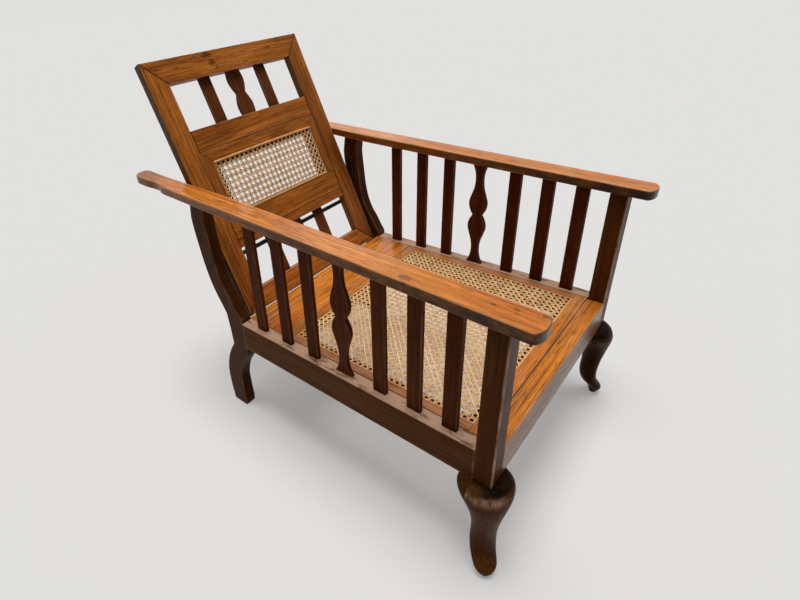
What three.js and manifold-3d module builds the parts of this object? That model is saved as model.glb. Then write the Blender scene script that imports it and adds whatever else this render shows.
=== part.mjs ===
// A planters chair: an armchair in dark hardwood with a drop-in caned seat and a framed,
// caned back that reclines on a loose iron rod laid in a pair of hook plates.
// Millimetres, +Z up. The chair faces -Y and stands on Z = 0, centred on X and Y.
import * as THREE from 'three';
import { mergeVertices } from 'three/addons/utils/BufferGeometryUtils.js';
import Module from 'manifold-3d';

const wasm = await Module();
wasm.setup();
const { Manifold, Mesh: SolidMesh } = wasm;

// Fits and overruns
const glueGap = 0.3;              // between pieces that are cut to each other
const slackInSeatOpening = 0.7;   // round the drop-in seat
const cutOver = 5;                // how far a cutter runs past what it cuts

// Base frame
const halfWidth = 310;            // centre to the outer face of posts, side rails and rear legs
const postWidth = 40;
const postDepth = 36;
const railBottom = 229;           // above the floor
const railHeight = 77;
const sideRailThickness = 32;
const frontRailThickness = 38;
const sideRailRearEnd = 662;      // behind the posts' front faces
const rearRailThickness = 24;
const rearRailHeight = 50;
const rearBoardDepth = 120.4;
const rearBoardProud = 6;         // behind the side rails' rear ends
const tenonThickness = 12;
const railTenonLength = 16;
const railTenonShoulder = 10;     // rail left above and below its tenon

// Arms
const armAboveRails = 296;        // arm's top over the rails' top, at the posts' front faces
const armThickness = 21;
const armRiseShare = 0.045;       // rise for each unit of run to the rear
const armWidth = 58;
const armProud = 16;              // outside the posts
const armFrontOverhang = 46;
const armFrontRound = 14;         // depth of the rounded front end
const armTail = 348;              // behind the side rail's end
const armTaperBehind = 38;        // where the taper starts behind the side rail's end
const armTaper = 9;               // taken off the inner edge behind the rear legs
const armWaistToTip = 104;        // from the middle of the hollow in the outer edge
const armWaistInset = 8;
const armWaistHalfLength = 42;
const armTipInset = 3;            // taken off the outer edge near the tip
const armTipRound = 36;
const armTipCornerShare = 0.75;   // of the tip's round, across the arm
const armTenonHeight = 10;
const armTenonShoulder = 8;

// Side slats and splats
const slatWidth = 30;
const slatThickness = 11;
const slatSetIn = 14;             // from the rail's outer face
const slatMortiseDepth = 8;
const slatPlaceShares = [0.0942, 0.2157, 0.3419, 0.631, 0.7652, 0.9026];
const splatPlaceShare = 0.4904;   // of the side rail's length, as the slats' shares are
const splatWidth = 48;

// Cabriole legs
const kneeReach = 54;             // from the post's centre out along the diagonal
const kneeBlockEnd = 28;          // how far the knee blocks run along the rails
const kneeCutBelow = 62;          // lowest point of the knee blocks under the rails

// Rear legs
const rearLegThickness = 32;
const rearLegWidth = 55;          // at the rails
const rearFootReach = 104;        // rear edge of the foot behind the side rail's end

// Back frame, in its own frame: z runs up the back from the pivot, y to its rear
const recline = THREE.MathUtils.degToRad(24);
const pivotBehindRail = 31.8;     // behind the side rail's end
const pivotAboveRails = 6.5;
const backFoot = 18.5;            // below the pivot
const backSideGap = 11;           // between a stile and a rear leg
const backThickness = 24;
const stileWidth = 57.5;
const bottomRailWidth = 54.5;
const lowerOpeningHeight = 115.5;
const lowerRailWidth = 83.5;
const backCaneHeight = 148;
const caneFrameHeadWidth = 30;
const caneFrameSideWidth = 27;
const upperRailWidth = 57;
const upperOpeningHeight = 121;
const topRailWidth = 61;
const backTenonThickness = 8;
const backTenonLength = 24;
const backTenonShoulder = 12;
const backSlatWidth = 36;
const backSlatThickness = 8;
const backSlatSetIn = 12;         // from the back's front face
const backSlatCentre = 97;
const backSplatWidth = 52;
const mitreTenonReach = 40;       // from the stile's inner edge
const mitreTenonWidth = 22;
const mitreTenonShoulder = 5;

// Seat frame
const seatFrameThickness = 22;
const seatFrontMember = 27;       // of the front and rear members, beside the cane
const seatSideMember = 21.5;
const seatTenonLength = 14;
const seatTenonThickness = 8;
const seatTenonShoulder = 6;
const cleatWidth = 20;
const cleatHeight = 22;

// Cane panels and the strips that cover their edges
const caneThickness = 1.8;
const caneLedge = 16;             // wood under the cane's edge
const caneFootLedge = 8;          // the same at the foot of the back's cane
const caneRebateDepth = 4.6;
const bindingWidth = 4.4;
const bindingThickness = 2.1;
const caneStrand = 5.2;           // solid web between two openings of the net
const caneCornerShare = 0.3;      // corner cut off each opening, as a share of the opening
const seatCaneCounts = [11, 10];
const backCaneCounts = [13, 6];

// Ironwork
const pinRadius = 4;
const pinInLeg = 20;
const pinInStile = 14;
const rodRadius = 6;
const rodUpTheBack = 134;         // from the pivot
const rodEndGap = 0.5;
const hookPlateThickness = 4.5;
const hookPitch = 44;
const hookCount = 3;
const hookSpineWidth = 7.5;
const hookFingerWidth = 5;
const hookFingerHeight = 8;       // above the rod's centre
const hookFloor = 7;              // iron under the rod
const hookLeanShare = 0.06;       // rearward lean of the plate for each unit of height
const hookHeadStart = 20;         // above the highest rod place
const hookHeadEnd = 38;
const hookTail = 24;              // below the lowest rod place
const screwInHead = 30;           // above the highest rod place
const screwRadius = 1.6;
const screwHeadRadius = 2.9;
const screwHeadHeight = 1.6;
const screwLength = 16;
const roundSides = 24;
const screwSides = 12;

// Levels and faces that the sizes above give
const railTop = railBottom + railHeight;
const armTopAtFront = railTop + armAboveRails;
const armOuter = halfWidth + armProud;
const armInner = armOuter - armWidth;
const armRearEnd = sideRailRearEnd + armTail;
const armTaperStart = sideRailRearEnd + armTaperBehind;
const armWaist = armRearEnd - armWaistToTip;
const rearBoardEnd = sideRailRearEnd + rearBoardProud;
const rearBoardStart = rearBoardEnd - rearBoardDepth;
const postInner = halfWidth - postWidth;
const sideRailInner = halfWidth - sideRailThickness;
const rearLegInner = halfWidth - rearLegThickness;
const slatOuter = halfWidth - slatSetIn;
const slatInner = slatOuter - slatThickness;
const seatHalfWidth = sideRailInner - slackInSeatOpening;
const seatFront = frontRailThickness + slackInSeatOpening;
const seatRear = rearBoardStart - slackInSeatOpening;
const pivotBehind = sideRailRearEnd + pivotBehindRail;
const pivotHeight = railTop + pivotAboveRails;
const backHalfWidth = rearLegInner - backSideGap;
const depthCentre = (armRearEnd - armFrontOverhang) / 2;
const sides = [['right', -1], ['left', 1]];

// Height of the arm's underside at a place behind the posts' front faces
function armUnderside(y) {
  return armTopAtFront - armThickness + armRiseShare * y;
}

// A place along a side rail, from a share of its length
function alongRail(share) {
  return postDepth + share * (sideRailRearEnd - postDepth);
}

// A closed geometry as a solid that can be joined and cut
function solidOf(geometry) {
  geometry.deleteAttribute('normal');
  geometry.deleteAttribute('uv');
  const merged = mergeVertices(geometry);
  return new Manifold(new SolidMesh({
    numProp: 3,
    vertProperties: merged.attributes.position.array,
    triVerts: new Uint32Array(merged.index.array),
  }));
}

// A solid as a geometry for a mesh
function geometryOf(solid) {
  const faces = solid.getMesh();
  const geometry = new THREE.BufferGeometry();
  geometry.setAttribute('position', new THREE.BufferAttribute(faces.vertProperties, faces.numProp));
  geometry.setIndex(new THREE.BufferAttribute(faces.triVerts, 1));
  geometry.computeVertexNormals();
  return geometry;
}

// A square block between two places on each axis, given in either order
function block(x0, x1, y0, y1, z0, z1) {
  const geometry = new THREE.BoxGeometry(Math.abs(x1 - x0), Math.abs(y1 - y0), Math.abs(z1 - z0));
  geometry.translate((x0 + x1) / 2, (y0 + y1) / 2, (z0 + z1) / 2);
  return solidOf(geometry);
}

// The geometry of an outline swept over a length, without bevels
function swept(shape, length) {
  return new THREE.ExtrudeGeometry(shape, { depth: length, bevelEnabled: false, curveSegments: 6 });
}

// A piece sawn to an outline of [y, z] points, between two places on X
function sawnAcross(points, x0, x1) {
  const shape = new THREE.Shape(points.map(([y, z]) => new THREE.Vector2(y, z)));
  const geometry = swept(shape, Math.abs(x1 - x0));
  const axes = new THREE.Matrix4().makeBasis(
    new THREE.Vector3(0, 1, 0), new THREE.Vector3(0, 0, 1), new THREE.Vector3(1, 0, 0));
  geometry.applyMatrix4(axes);
  geometry.translate(Math.min(x0, x1), 0, 0);
  return solidOf(geometry);
}

// A piece sawn to a shape in X and Z, between two places on Y
function sawnThrough(shape, y0, y1) {
  const geometry = swept(shape, y1 - y0);
  geometry.rotateX(Math.PI / 2);
  geometry.translate(0, y1, 0);
  return solidOf(geometry);
}

// A shape in X and Z from [x, z] points
function shapeOf(points) {
  return new THREE.Shape(points.map(([x, z]) => new THREE.Vector2(x, z)));
}

// A round bar along X between two places
function roundBar(radius, x0, x1, y, z, count) {
  const geometry = new THREE.CylinderGeometry(radius, radius, Math.abs(x1 - x0), count);
  geometry.rotateZ(Math.PI / 2);
  geometry.translate((x0 + x1) / 2, y, z);
  return solidOf(geometry);
}

// A body through rings of points, lowest ring first, each ring anticlockwise seen from above
function lofted(rings) {
  const positions = rings.flat().flatMap((point) => [point.x, point.y, point.z]);
  const count = rings[0].length;
  const indices = [];
  for (let level = 0; level < rings.length - 1; level += 1) {
    for (let i = 0; i < count; i += 1) {
      const next = (i + 1) % count;
      const a = level * count + i;
      const b = level * count + next;
      indices.push(a, b, b + count, a, b + count, a + count);
    }
  }
  const last = (rings.length - 1) * count;
  for (let i = 1; i < count - 1; i += 1) {
    indices.push(0, i + 1, i);
    indices.push(last, last + i, last + i + 1);
  }
  const geometry = new THREE.BufferGeometry();
  geometry.setAttribute('position', new THREE.Float32BufferAttribute(positions, 3));
  geometry.setIndex(indices);
  return solidOf(geometry);
}

const woods = {
  frame: { color: 0x5a2f16, roughness: 0.38, metalness: 0 },
  top: { color: 0x8a4b20, roughness: 0.32, metalness: 0 },
  slat: { color: 0x45230f, roughness: 0.42, metalness: 0 },
  back: { color: 0x84491c, roughness: 0.36, metalness: 0 },
  cane: { color: 0xd9ba86, roughness: 0.6, metalness: 0 },
  binding: { color: 0xcf9d5c, roughness: 0.5, metalness: 0 },
  iron: { color: 0x16181a, roughness: 0.5, metalness: 0.7 },
};

const chair = new THREE.Group();
chair.position.y = -depthCentre;

// Adds one named piece to a group
function addPiece(group, name, solid, finish) {
  const mesh = new THREE.Mesh(geometryOf(solid), new THREE.MeshStandardMaterial(woods[finish]));
  mesh.name = name;
  group.add(mesh);
}

// Pockets cut in the side rails and arms, gathered as the pieces that fill them are made
const railPockets = { right: [], left: [] };
const armPockets = { right: [], left: [] };

// A pocket round a tenon that lies between two places on each axis
function pocket(x0, x1, y0, y1, z0, z1) {
  const [lowX, highX] = [Math.min(x0, x1), Math.max(x0, x1)];
  return block(lowX - glueGap, highX + glueGap, y0 - glueGap, y1 + glueGap, z0 - glueGap, z1 + glueGap);
}

// Cuts each of a list of solids out of a piece
function cutAll(piece, cutters) {
  return cutters.reduce((rest, cutter) => rest.subtract(cutter), piece);
}

// The front legs: a cabriole leg and its arm post from one stock, and the knee blocks glued
// beside it. Each ring of the knee is [height, middle, half length, half width]: the height
// is a share of the rail's height over the floor, and the rest, along and across the
// diagonal from the post's centre, are shares of the knee's reach.
const kneeRingShares = [
  [0, 0.74, 0.157, 0.157],
  [0.022, 0.74, 0.185, 0.2],
  [0.06, 0.76, 0.25, 0.31],
  [0.105, 0.713, 0.295, 0.4],
  [0.15, 0.583, 0.315, 0.44],
  [0.205, 0.407, 0.325, 0.455],
  [0.27, 0.305, 0.33, 0.465],
  [0.36, 0.26, 0.335, 0.47],
  [0.45, 0.28, 0.35, 0.465],
  [0.545, 0.31, 0.39, 0.48],
  [0.62, 0.325, 0.44, 0.525],
  [0.7, 0.31, 0.52, 0.6],
  [0.77, 0.26, 0.615, 0.705],
  [0.83, 0.18, 0.71, 0.82],
  [0.88, 0.09, 0.79, 0.915],
  [0.925, 0.01, 0.825, 0.96],
  [0.96, -0.04, 0.815, 0.94],
  [0.985, -0.08, 0.75, 0.86],
  [1, -0.1, 0.66, 0.76],
];
const kneeRingPoints = 18;

function kneeBody(side) {
  const postX = side * (postInner + postWidth / 2);
  const postY = postDepth / 2;
  const outward = new THREE.Vector2(side, -1).normalize();
  const across = new THREE.Vector2(-outward.y, outward.x);
  const rings = kneeRingShares.map(([heightShare, middleShare, lengthShare, widthShare]) => {
    const ring = [];
    for (let i = 0; i < kneeRingPoints; i += 1) {
      const angle = 2 * Math.PI * i / kneeRingPoints;
      const along = (middleShare + lengthShare * Math.cos(angle)) * kneeReach;
      const aside = widthShare * Math.sin(angle) * kneeReach;
      ring.push(new THREE.Vector3(
        postX + outward.x * along + across.x * aside,
        postY + outward.y * along + across.y * aside,
        heightShare * railBottom,
      ));
    }
    return ring;
  });
  return lofted(rings);
}

for (const [sideName, side] of sides) {
  const knee = kneeBody(side);
  const inner = side * postInner;
  const outer = side * halfWidth;
  const far = side * (halfWidth + kneeReach);
  const wide = kneeReach + cutOver;
  const ownKnee = knee.intersect(block(inner, far, -wide, postDepth, -cutOver, railBottom));
  const postOutline = [
    [0, railBottom],
    [postDepth, railBottom],
    [postDepth, armUnderside(postDepth) - glueGap],
    [0, armUnderside(0) - glueGap],
  ];
  const tenon = [
    inner + side * armTenonShoulder, outer - side * armTenonShoulder,
    armTenonShoulder, postDepth - armTenonShoulder,
    armUnderside(0) - armTenonHeight, armUnderside(postDepth) + armTenonHeight,
  ];
  armPockets[sideName].push(pocket(...tenon));
  const sideTenonInner = side * (sideRailInner + (sideRailThickness - tenonThickness) / 2);
  const sideTenon = [
    sideTenonInner, sideTenonInner + side * tenonThickness,
    postDepth - railTenonLength, postDepth + cutOver,
    railBottom + railTenonShoulder, railTop - railTenonShoulder,
  ];
  const frontTenonStart = (postDepth - tenonThickness) / 2;
  const frontTenon = [
    inner - side * cutOver, inner + side * railTenonLength,
    frontTenonStart, frontTenonStart + tenonThickness,
    railBottom + railTenonShoulder, railTop - railTenonShoulder,
  ];
  const leg = sawnAcross(postOutline, inner, outer)
    .add(ownKnee)
    .add(block(...tenon))
    .subtract(pocket(...sideTenon))
    .subtract(pocket(...frontTenon));
  addPiece(chair, `front_leg_${sideName}`, leg, 'frame');

  const sideBlock = knee.intersect(block(
    inner, far, postDepth + glueGap, postDepth + kneeBlockEnd,
    railBottom - kneeCutBelow, railBottom - glueGap));
  addPiece(chair, `knee_block_side_${sideName}`, sideBlock, 'frame');
  const frontBlock = knee.intersect(block(
    inner - side * glueGap, inner - side * kneeBlockEnd, -wide, postDepth,
    railBottom - kneeCutBelow, railBottom - glueGap));
  addPiece(chair, `knee_block_front_${sideName}`, frontBlock, 'frame');
}

// The rear legs: sawn from a plank to a double curve. Each row is a height, then the front and
// rear edges behind the side rail's end, as shares of the foot's reach. Heights are shares of
// the height from the floor to the rails, or from the rails to the arm's underside.
const rearLegLowerShares = [
  [0, 0.46, 0.96],
  [0.09, 0.44, 0.97],
  [0.2, 0.45, 1],
  [0.43, 0.46, 1],
  [0.56, 0.4, 0.95],
  [0.69, 0.28, 0.86],
  [0.82, 0.09, 0.72],
  [0.91, -0.02, 0.595],
  [0.965, -0.02, 0.515],
];
const rearLegUpperShares = [
  [0.037, 0.01, 0.575],
  [0.093, 0.12, 0.665],
  [0.176, 0.26, 0.8],
  [0.266, 0.44, 0.93],
  [0.379, 0.58, 1.035],
  [0.514, 0.665, 1.125],
  [0.649, 0.705, 1.185],
  [0.769, 0.74, 1.235],
  [0.874, 0.76, 1.25],
];
const rearLegTopShares = [0.71, 1.18];
const rearLegSteps = 14;

// One edge of the rear leg's outline, smooth through rows of [height, edge] shares between
// two heights
function rearLegEdge(rows, low, high) {
  const knots = rows.map(([heightShare, edgeShare]) => (
    new THREE.Vector2(sideRailRearEnd + edgeShare * rearFootReach, low + heightShare * (high - low))));
  return new THREE.SplineCurve(knots).getPoints(rearLegSteps).map(({ x, y }) => [x, y]);
}

function rearLegOutline() {
  const frontOf = ([height, front]) => [height, front];
  const rearOf = ([height, , rear]) => [height, rear];
  const lower = (edgeOf) => rearLegEdge(rearLegLowerShares.map(edgeOf), 0, railBottom);
  const upper = (edgeOf) => rearLegEdge(
    rearLegUpperShares.map(edgeOf), railTop, armUnderside(sideRailRearEnd));
  const [topFront, topRear] = rearLegTopShares.map((share) => sideRailRearEnd + share * rearFootReach);
  return [
    ...lower(rearOf),
    [sideRailRearEnd + rearLegWidth, (railBottom + railTop) / 2],
    ...upper(rearOf),
    [topRear, armUnderside(topRear) - glueGap],
    [topFront, armUnderside(topFront) - glueGap],
    ...upper(frontOf).reverse(),
    [sideRailRearEnd, railTop],
    [sideRailRearEnd, railBottom],
    ...lower(frontOf).reverse(),
  ];
}

// A back piece's place and angle in the chair: its own frame turns about the pivot
const up = new THREE.Vector2(Math.sin(recline), Math.cos(recline));
const toRear = new THREE.Vector2(Math.cos(recline), -Math.sin(recline));
const rodBehindPivot = backThickness / 2 + glueGap + rodRadius;
const rodY = pivotBehind + up.x * rodUpTheBack + toRear.x * rodBehindPivot;
const rodZ = pivotHeight + up.y * rodUpTheBack + toRear.y * rodBehindPivot;
const troughRadius = rodRadius + glueGap;

// Front edge of a hook plate at a height
function spineFront(z) {
  return rodY - troughRadius - hookSpineWidth + hookLeanShare * (z - rodZ);
}

// Where the rod lies in a hook, counted from the lowest
function rodPlace(index) {
  const rise = index * hookPitch;
  return new THREE.Vector2(rodY + hookLeanShare * rise, rodZ + rise);
}

// A hook plate's outline: a spine with fingers that rise behind the rod's places
function hookPlateOutline() {
  const outline = [];
  const rearOfSpine = (z) => spineFront(z) + hookSpineWidth;
  const bottom = rodZ - hookTail;
  outline.push([spineFront(bottom), bottom]);
  outline.push([rearOfSpine(bottom), bottom]);
  for (let index = 0; index < hookCount; index += 1) {
    const centre = rodPlace(index);
    const place = (behind, above) => {
      const point = centre.clone().addScaledVector(toRear, behind).addScaledVector(up, above);
      return [point.x, point.y];
    };
    const under = troughRadius + hookFloor;
    const outerFace = troughRadius + hookFingerWidth;
    const root = centre.y - under - hookFingerWidth / 2;
    outline.push([rearOfSpine(root), root]);
    outline.push(place(0, -under));
    outline.push(place(outerFace, -troughRadius / 2));
    outline.push(place(outerFace, hookFingerHeight));
    outline.push(place(troughRadius, hookFingerHeight));
    const trough = new THREE.Path();
    trough.absarc(centre.x, centre.y, troughRadius, -recline, -Math.PI, true);
    trough.getPoints(8).forEach((point) => outline.push([point.x, point.y]));
  }
  const highest = rodPlace(hookCount - 1);
  const reach = troughRadius + hookFingerWidth;
  const headStart = highest.y + hookHeadStart;
  const headEnd = highest.y + hookHeadEnd;
  outline.push([rearOfSpine(headStart), headStart]);
  outline.push([highest.x + reach, headStart]);
  outline.push([highest.x + reach, (headStart + headEnd) / 2]);
  outline.push([rearOfSpine(headEnd), headEnd]);
  outline.push([spineFront(headEnd), headEnd]);
  return outline;
}

// Heights of the screws that hold a hook plate: between its hooks and in its head
const screwHeights = [];
for (let index = 0; index < hookCount - 1; index += 1) {
  screwHeights.push(rodPlace(index).y + hookPitch / 2);
}
screwHeights.push(rodPlace(hookCount - 1).y + screwInHead);

// The screws of one plate, made in one with it, or the holes for them when a gap is given
function screws(side, gap) {
  const face = rearLegInner - hookPlateThickness;
  const bars = screwHeights.flatMap((z) => {
    const y = spineFront(z) + hookSpineWidth / 2;
    const head = [side * (face - gap), side * (face + screwHeadHeight + gap)];
    const shank = [side * face, side * (face + screwLength + gap)];
    return [
      roundBar(screwHeadRadius + gap, ...head, y, z, screwSides),
      roundBar(screwRadius + gap, ...shank, y, z, screwSides),
    ];
  });
  return bars.reduce((all, bar) => all.add(bar));
}

for (const [sideName, side] of sides) {
  const inner = side * rearLegInner;
  const outer = side * halfWidth;
  const tenonInner = side * (sideRailInner + (sideRailThickness - tenonThickness) / 2);
  const railTenon = [
    tenonInner, tenonInner + side * tenonThickness,
    sideRailRearEnd - cutOver, sideRailRearEnd + railTenonLength,
    railBottom + railTenonShoulder, railTop - railTenonShoulder,
  ];
  const [topFront, topRear] = rearLegTopShares.map((share) => sideRailRearEnd + share * rearFootReach);
  const tenon = [
    inner + side * armTenonShoulder, outer - side * armTenonShoulder,
    topFront + armTenonShoulder, topRear - armTenonShoulder,
    armUnderside(topFront) - armTenonHeight, armUnderside(topRear) + armTenonHeight,
  ];
  armPockets[sideName].push(pocket(...tenon));
  const pinHole = roundBar(
    pinRadius + glueGap, inner - side * cutOver, inner + side * (pinInLeg + glueGap),
    pivotBehind, pivotHeight, roundSides);
  const leg = sawnAcross(rearLegOutline(), inner, outer)
    .add(block(...tenon))
    .subtract(pocket(...railTenon))
    .subtract(pinHole)
    .subtract(screws(side, glueGap));
  addPiece(chair, `rear_leg_${sideName}`, leg, 'frame');

  const pin = roundBar(
    pinRadius, side * (backHalfWidth - pinInStile), inner + side * pinInLeg,
    pivotBehind, pivotHeight, roundSides);
  addPiece(chair, `pivot_pin_${sideName}`, pin, 'iron');

  const plate = sawnAcross(hookPlateOutline(), inner - side * hookPlateThickness, inner)
    .add(screws(side, 0));
  addPiece(chair, `hook_plate_${sideName}`, plate, 'iron');
}

// The rod that the back rests on, loose in the lowest pair of hooks
const rod = new THREE.Group();
rod.position.set(0, rodY, rodZ);
chair.add(rod);
const rodHalfLength = rearLegInner - rodEndGap;
addPiece(rod, 'support_rod', roundBar(rodRadius, -rodHalfLength, rodHalfLength, 0, 0, roundSides), 'iron');

// Side slats and splats, let into the side rails and the arms at both ends. Rows are
// [share of the height, share of the half width], from the foot to the waist in the middle.
const vaseShares = [
  [0, 0.94],
  [0.04, 0.67],
  [0.1, 0.46],
  [0.17, 0.42],
  [0.24, 0.53],
  [0.31, 0.8],
  [0.375, 1],
  [0.44, 0.89],
  [0.5, 0.52],
];
const shortVaseShares = [
  [0, 0.88],
  [0.13, 0.98],
  [0.25, 0.98],
  [0.36, 0.84],
  [0.44, 0.7],
  [0.5, 0.58],
];

// The outline of a vase splat about a centre line, between two heights, mirrored about its
// waist, with a square foot at each end for the mortises
function vaseOutline(shares, centre, width, low, high, footDepth, steps) {
  const half = width / 2;
  const knots = shares.map(([heightShare, widthShare]) => new THREE.Vector2(heightShare, widthShare));
  const lower = new THREE.SplineCurve(knots).getPoints(steps);
  const upper = lower.slice(0, -1).reverse().map((point) => new THREE.Vector2(1 - point.x, point.y));
  const side = (sign) => [...lower, ...upper].map((point) => (
    [centre + sign * point.y * half, low + point.x * (high - low)]));
  const footHalf = half * shares[0][1];
  return [
    [centre - footHalf, low - footDepth],
    [centre + footHalf, low - footDepth],
    ...side(1),
    [centre + footHalf, high + footDepth],
    [centre - footHalf, high + footDepth],
    ...side(-1).reverse(),
  ];
}

// Gathers the pockets for a piece that stands between a side rail and its arm
function cutPocketsFor(sideName, side, y0, y1) {
  const faces = [side * slatInner, side * slatOuter, y0, y1];
  railPockets[sideName].push(pocket(...faces, railTop - slatMortiseDepth, railTop + cutOver));
  armPockets[sideName].push(
    pocket(...faces, armUnderside(y0) - cutOver, armUnderside(y1) + slatMortiseDepth));
}

for (const [sideName, side] of sides) {
  const foot = railTop - slatMortiseDepth;
  slatPlaceShares.forEach((share, index) => {
    const y0 = alongRail(share) - slatWidth / 2;
    const y1 = y0 + slatWidth;
    const outline = [
      [y0, foot],
      [y1, foot],
      [y1, armUnderside(y1) + slatMortiseDepth],
      [y0, armUnderside(y0) + slatMortiseDepth],
    ];
    cutPocketsFor(sideName, side, y0, y1);
    const slat = sawnAcross(outline, side * slatInner, side * slatOuter);
    addPiece(chair, `side_slat_${sideName}_${index + 1}`, slat, 'slat');
  });
  const splatCentre = alongRail(splatPlaceShare);
  const footHalf = splatWidth * vaseShares[0][1] / 2;
  cutPocketsFor(sideName, side, splatCentre - footHalf, splatCentre + footHalf);
  const outline = vaseOutline(
    vaseShares, splatCentre, splatWidth, railTop, armUnderside(splatCentre), slatMortiseDepth, 16);
  const splat = sawnAcross(outline, side * slatInner, side * slatOuter);
  addPiece(chair, `side_splat_${sideName}`, splat, 'slat');
}

// Rails, the fixed board behind the seat and the cleats that carry the seat
const rearRailRear = sideRailRearEnd - railTenonShoulder / 2;
const rearRailFront = rearRailRear - rearRailThickness;
const seatUnderside = railTop - seatFrameThickness;
const rearRailBottom = seatUnderside - rearRailHeight;
const rearTenonFront = rearRailFront + (rearRailThickness - tenonThickness) / 2;

for (const [sideName, side] of sides) {
  const inner = side * sideRailInner;
  const tenonInner = inner + side * (sideRailThickness - tenonThickness) / 2;
  const tenon = block(
    tenonInner, tenonInner + side * tenonThickness,
    postDepth - railTenonLength, sideRailRearEnd + railTenonLength,
    railBottom + railTenonShoulder, railTop - railTenonShoulder);
  const rearTenonPocket = pocket(
    inner - side * cutOver, inner + side * railTenonLength,
    rearTenonFront, rearTenonFront + tenonThickness,
    rearRailBottom + railTenonShoulder, seatUnderside - railTenonShoulder);
  const rail = cutAll(
    block(inner, side * halfWidth, postDepth, sideRailRearEnd, railBottom, railTop).add(tenon),
    [...railPockets[sideName], rearTenonPocket]);
  addPiece(chair, `side_rail_${sideName}`, rail, 'frame');

  const cleat = block(
    inner - side * cleatWidth, inner, frontRailThickness + glueGap, rearRailFront - glueGap,
    seatUnderside - cleatHeight, seatUnderside);
  addPiece(chair, `seat_cleat_${sideName}`, cleat, 'frame');
}

const frontTenonStart = (postDepth - tenonThickness) / 2;
const frontTenonEnd = postInner + railTenonLength;
const frontRail = block(-postInner, postInner, 0, frontRailThickness, railBottom, railTop)
  .add(block(
    -frontTenonEnd, frontTenonEnd, frontTenonStart, frontTenonStart + tenonThickness,
    railBottom + railTenonShoulder, railTop - railTenonShoulder));
addPiece(chair, 'front_rail', frontRail, 'top');

const rearTenonEnd = sideRailInner + railTenonLength;
const rearRail = block(
  -sideRailInner, sideRailInner, rearRailFront, rearRailRear, rearRailBottom, seatUnderside)
  .add(block(
    -rearTenonEnd, rearTenonEnd, rearTenonFront, rearTenonFront + tenonThickness,
    rearRailBottom + railTenonShoulder, seatUnderside - railTenonShoulder));
addPiece(chair, 'rear_rail', rearRail, 'frame');

const boardHalf = sideRailInner - glueGap;
addPiece(chair, 'rear_board', block(
  -boardHalf, boardHalf, rearBoardStart, rearBoardEnd, seatUnderside, railTop), 'top');

// Arms: long boards that rise to the rear, bowed in front, with a hollow before the tip
function armShape(side) {
  const outline = new THREE.Path();
  const frontStart = armFrontRound - armFrontOverhang;
  const waistEdge = armOuter - armWaistInset;
  const tipEdge = armOuter - armTipInset;
  const innerEdge = armInner + armTaper;
  const tipStart = armRearEnd - armTipRound;
  outline.absellipse(
    (armInner + armOuter) / 2, frontStart, (armOuter - armInner) / 2, armFrontRound,
    Math.PI, 2 * Math.PI, false, 0);
  outline.lineTo(armOuter, armWaist - armWaistHalfLength);
  outline.bezierCurveTo(
    armOuter, armWaist - armWaistHalfLength / 2, waistEdge, armWaist - armWaistHalfLength / 2,
    waistEdge, armWaist);
  outline.bezierCurveTo(
    waistEdge, armWaist + armWaistHalfLength / 2, tipEdge, armWaist + armWaistHalfLength / 2,
    tipEdge, tipStart);
  outline.quadraticCurveTo(tipEdge, armRearEnd, tipEdge - armTipRound * armTipCornerShare, armRearEnd);
  outline.quadraticCurveTo(innerEdge, armRearEnd, innerEdge, armRearEnd - armTipRound / 2);
  outline.lineTo(innerEdge, armWaist);
  outline.lineTo(armInner, armTaperStart);
  return new THREE.Shape(outline.getPoints(6).map((point) => new THREE.Vector2(side * point.x, point.y)));
}

for (const [sideName, side] of sides) {
  const geometry = swept(armShape(side), armThickness);
  geometry.translate(0, 0, armTopAtFront - armThickness);
  geometry.applyMatrix4(new THREE.Matrix4().makeShear(0, 0, 0, armRiseShare, 0, 0));
  addPiece(chair, `arm_${sideName}`, cutAll(solidOf(geometry), armPockets[sideName]), 'top');
}

// A net between x and z limits: a sheet with rows of openings whose corners are cut off, inside
// a border that lies on the ledge, with its own width at the low end
function netShape(halfX, lowZ, highZ, border, lowBorder, counts) {
  const shape = shapeOf([[-halfX, lowZ], [halfX, lowZ], [halfX, highZ], [-halfX, highZ]]);
  const [countX, countZ] = counts;
  const pitchX = (2 * (halfX - border) + caneStrand) / countX;
  const pitchZ = (highZ - lowZ - border - lowBorder + caneStrand) / countZ;
  const openX = (pitchX - caneStrand) / 2;
  const openZ = (pitchZ - caneStrand) / 2;
  const cutX = openX * (1 - 2 * caneCornerShare);
  const cutZ = openZ * (1 - 2 * caneCornerShare);
  for (let column = 0; column < countX; column += 1) {
    for (let row = 0; row < countZ; row += 1) {
      const x = border - halfX + openX + column * pitchX;
      const z = lowZ + lowBorder + openZ + row * pitchZ;
      const corners = [
        [cutX, openZ], [openX, cutZ], [openX, -cutZ], [cutX, -openZ],
        [-cutX, -openZ], [-openX, -cutZ], [-openX, cutZ], [-cutX, openZ],
      ];
      shape.holes.push(new THREE.Path(corners.map(([dx, dz]) => new THREE.Vector2(x + dx, z + dz))));
    }
  }
  return shape;
}

// A rectangular ring shape from its outer limits and the width of its band
function ringShape(halfX, lowZ, highZ, width) {
  const shape = shapeOf([[-halfX, lowZ], [halfX, lowZ], [halfX, highZ], [-halfX, highZ]]);
  const inner = halfX - width;
  shape.holes.push(new THREE.Path([
    [-inner, lowZ + width], [-inner, highZ - width], [inner, highZ - width], [inner, lowZ + width],
  ].map(([x, z]) => new THREE.Vector2(x, z))));
  return shape;
}

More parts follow.
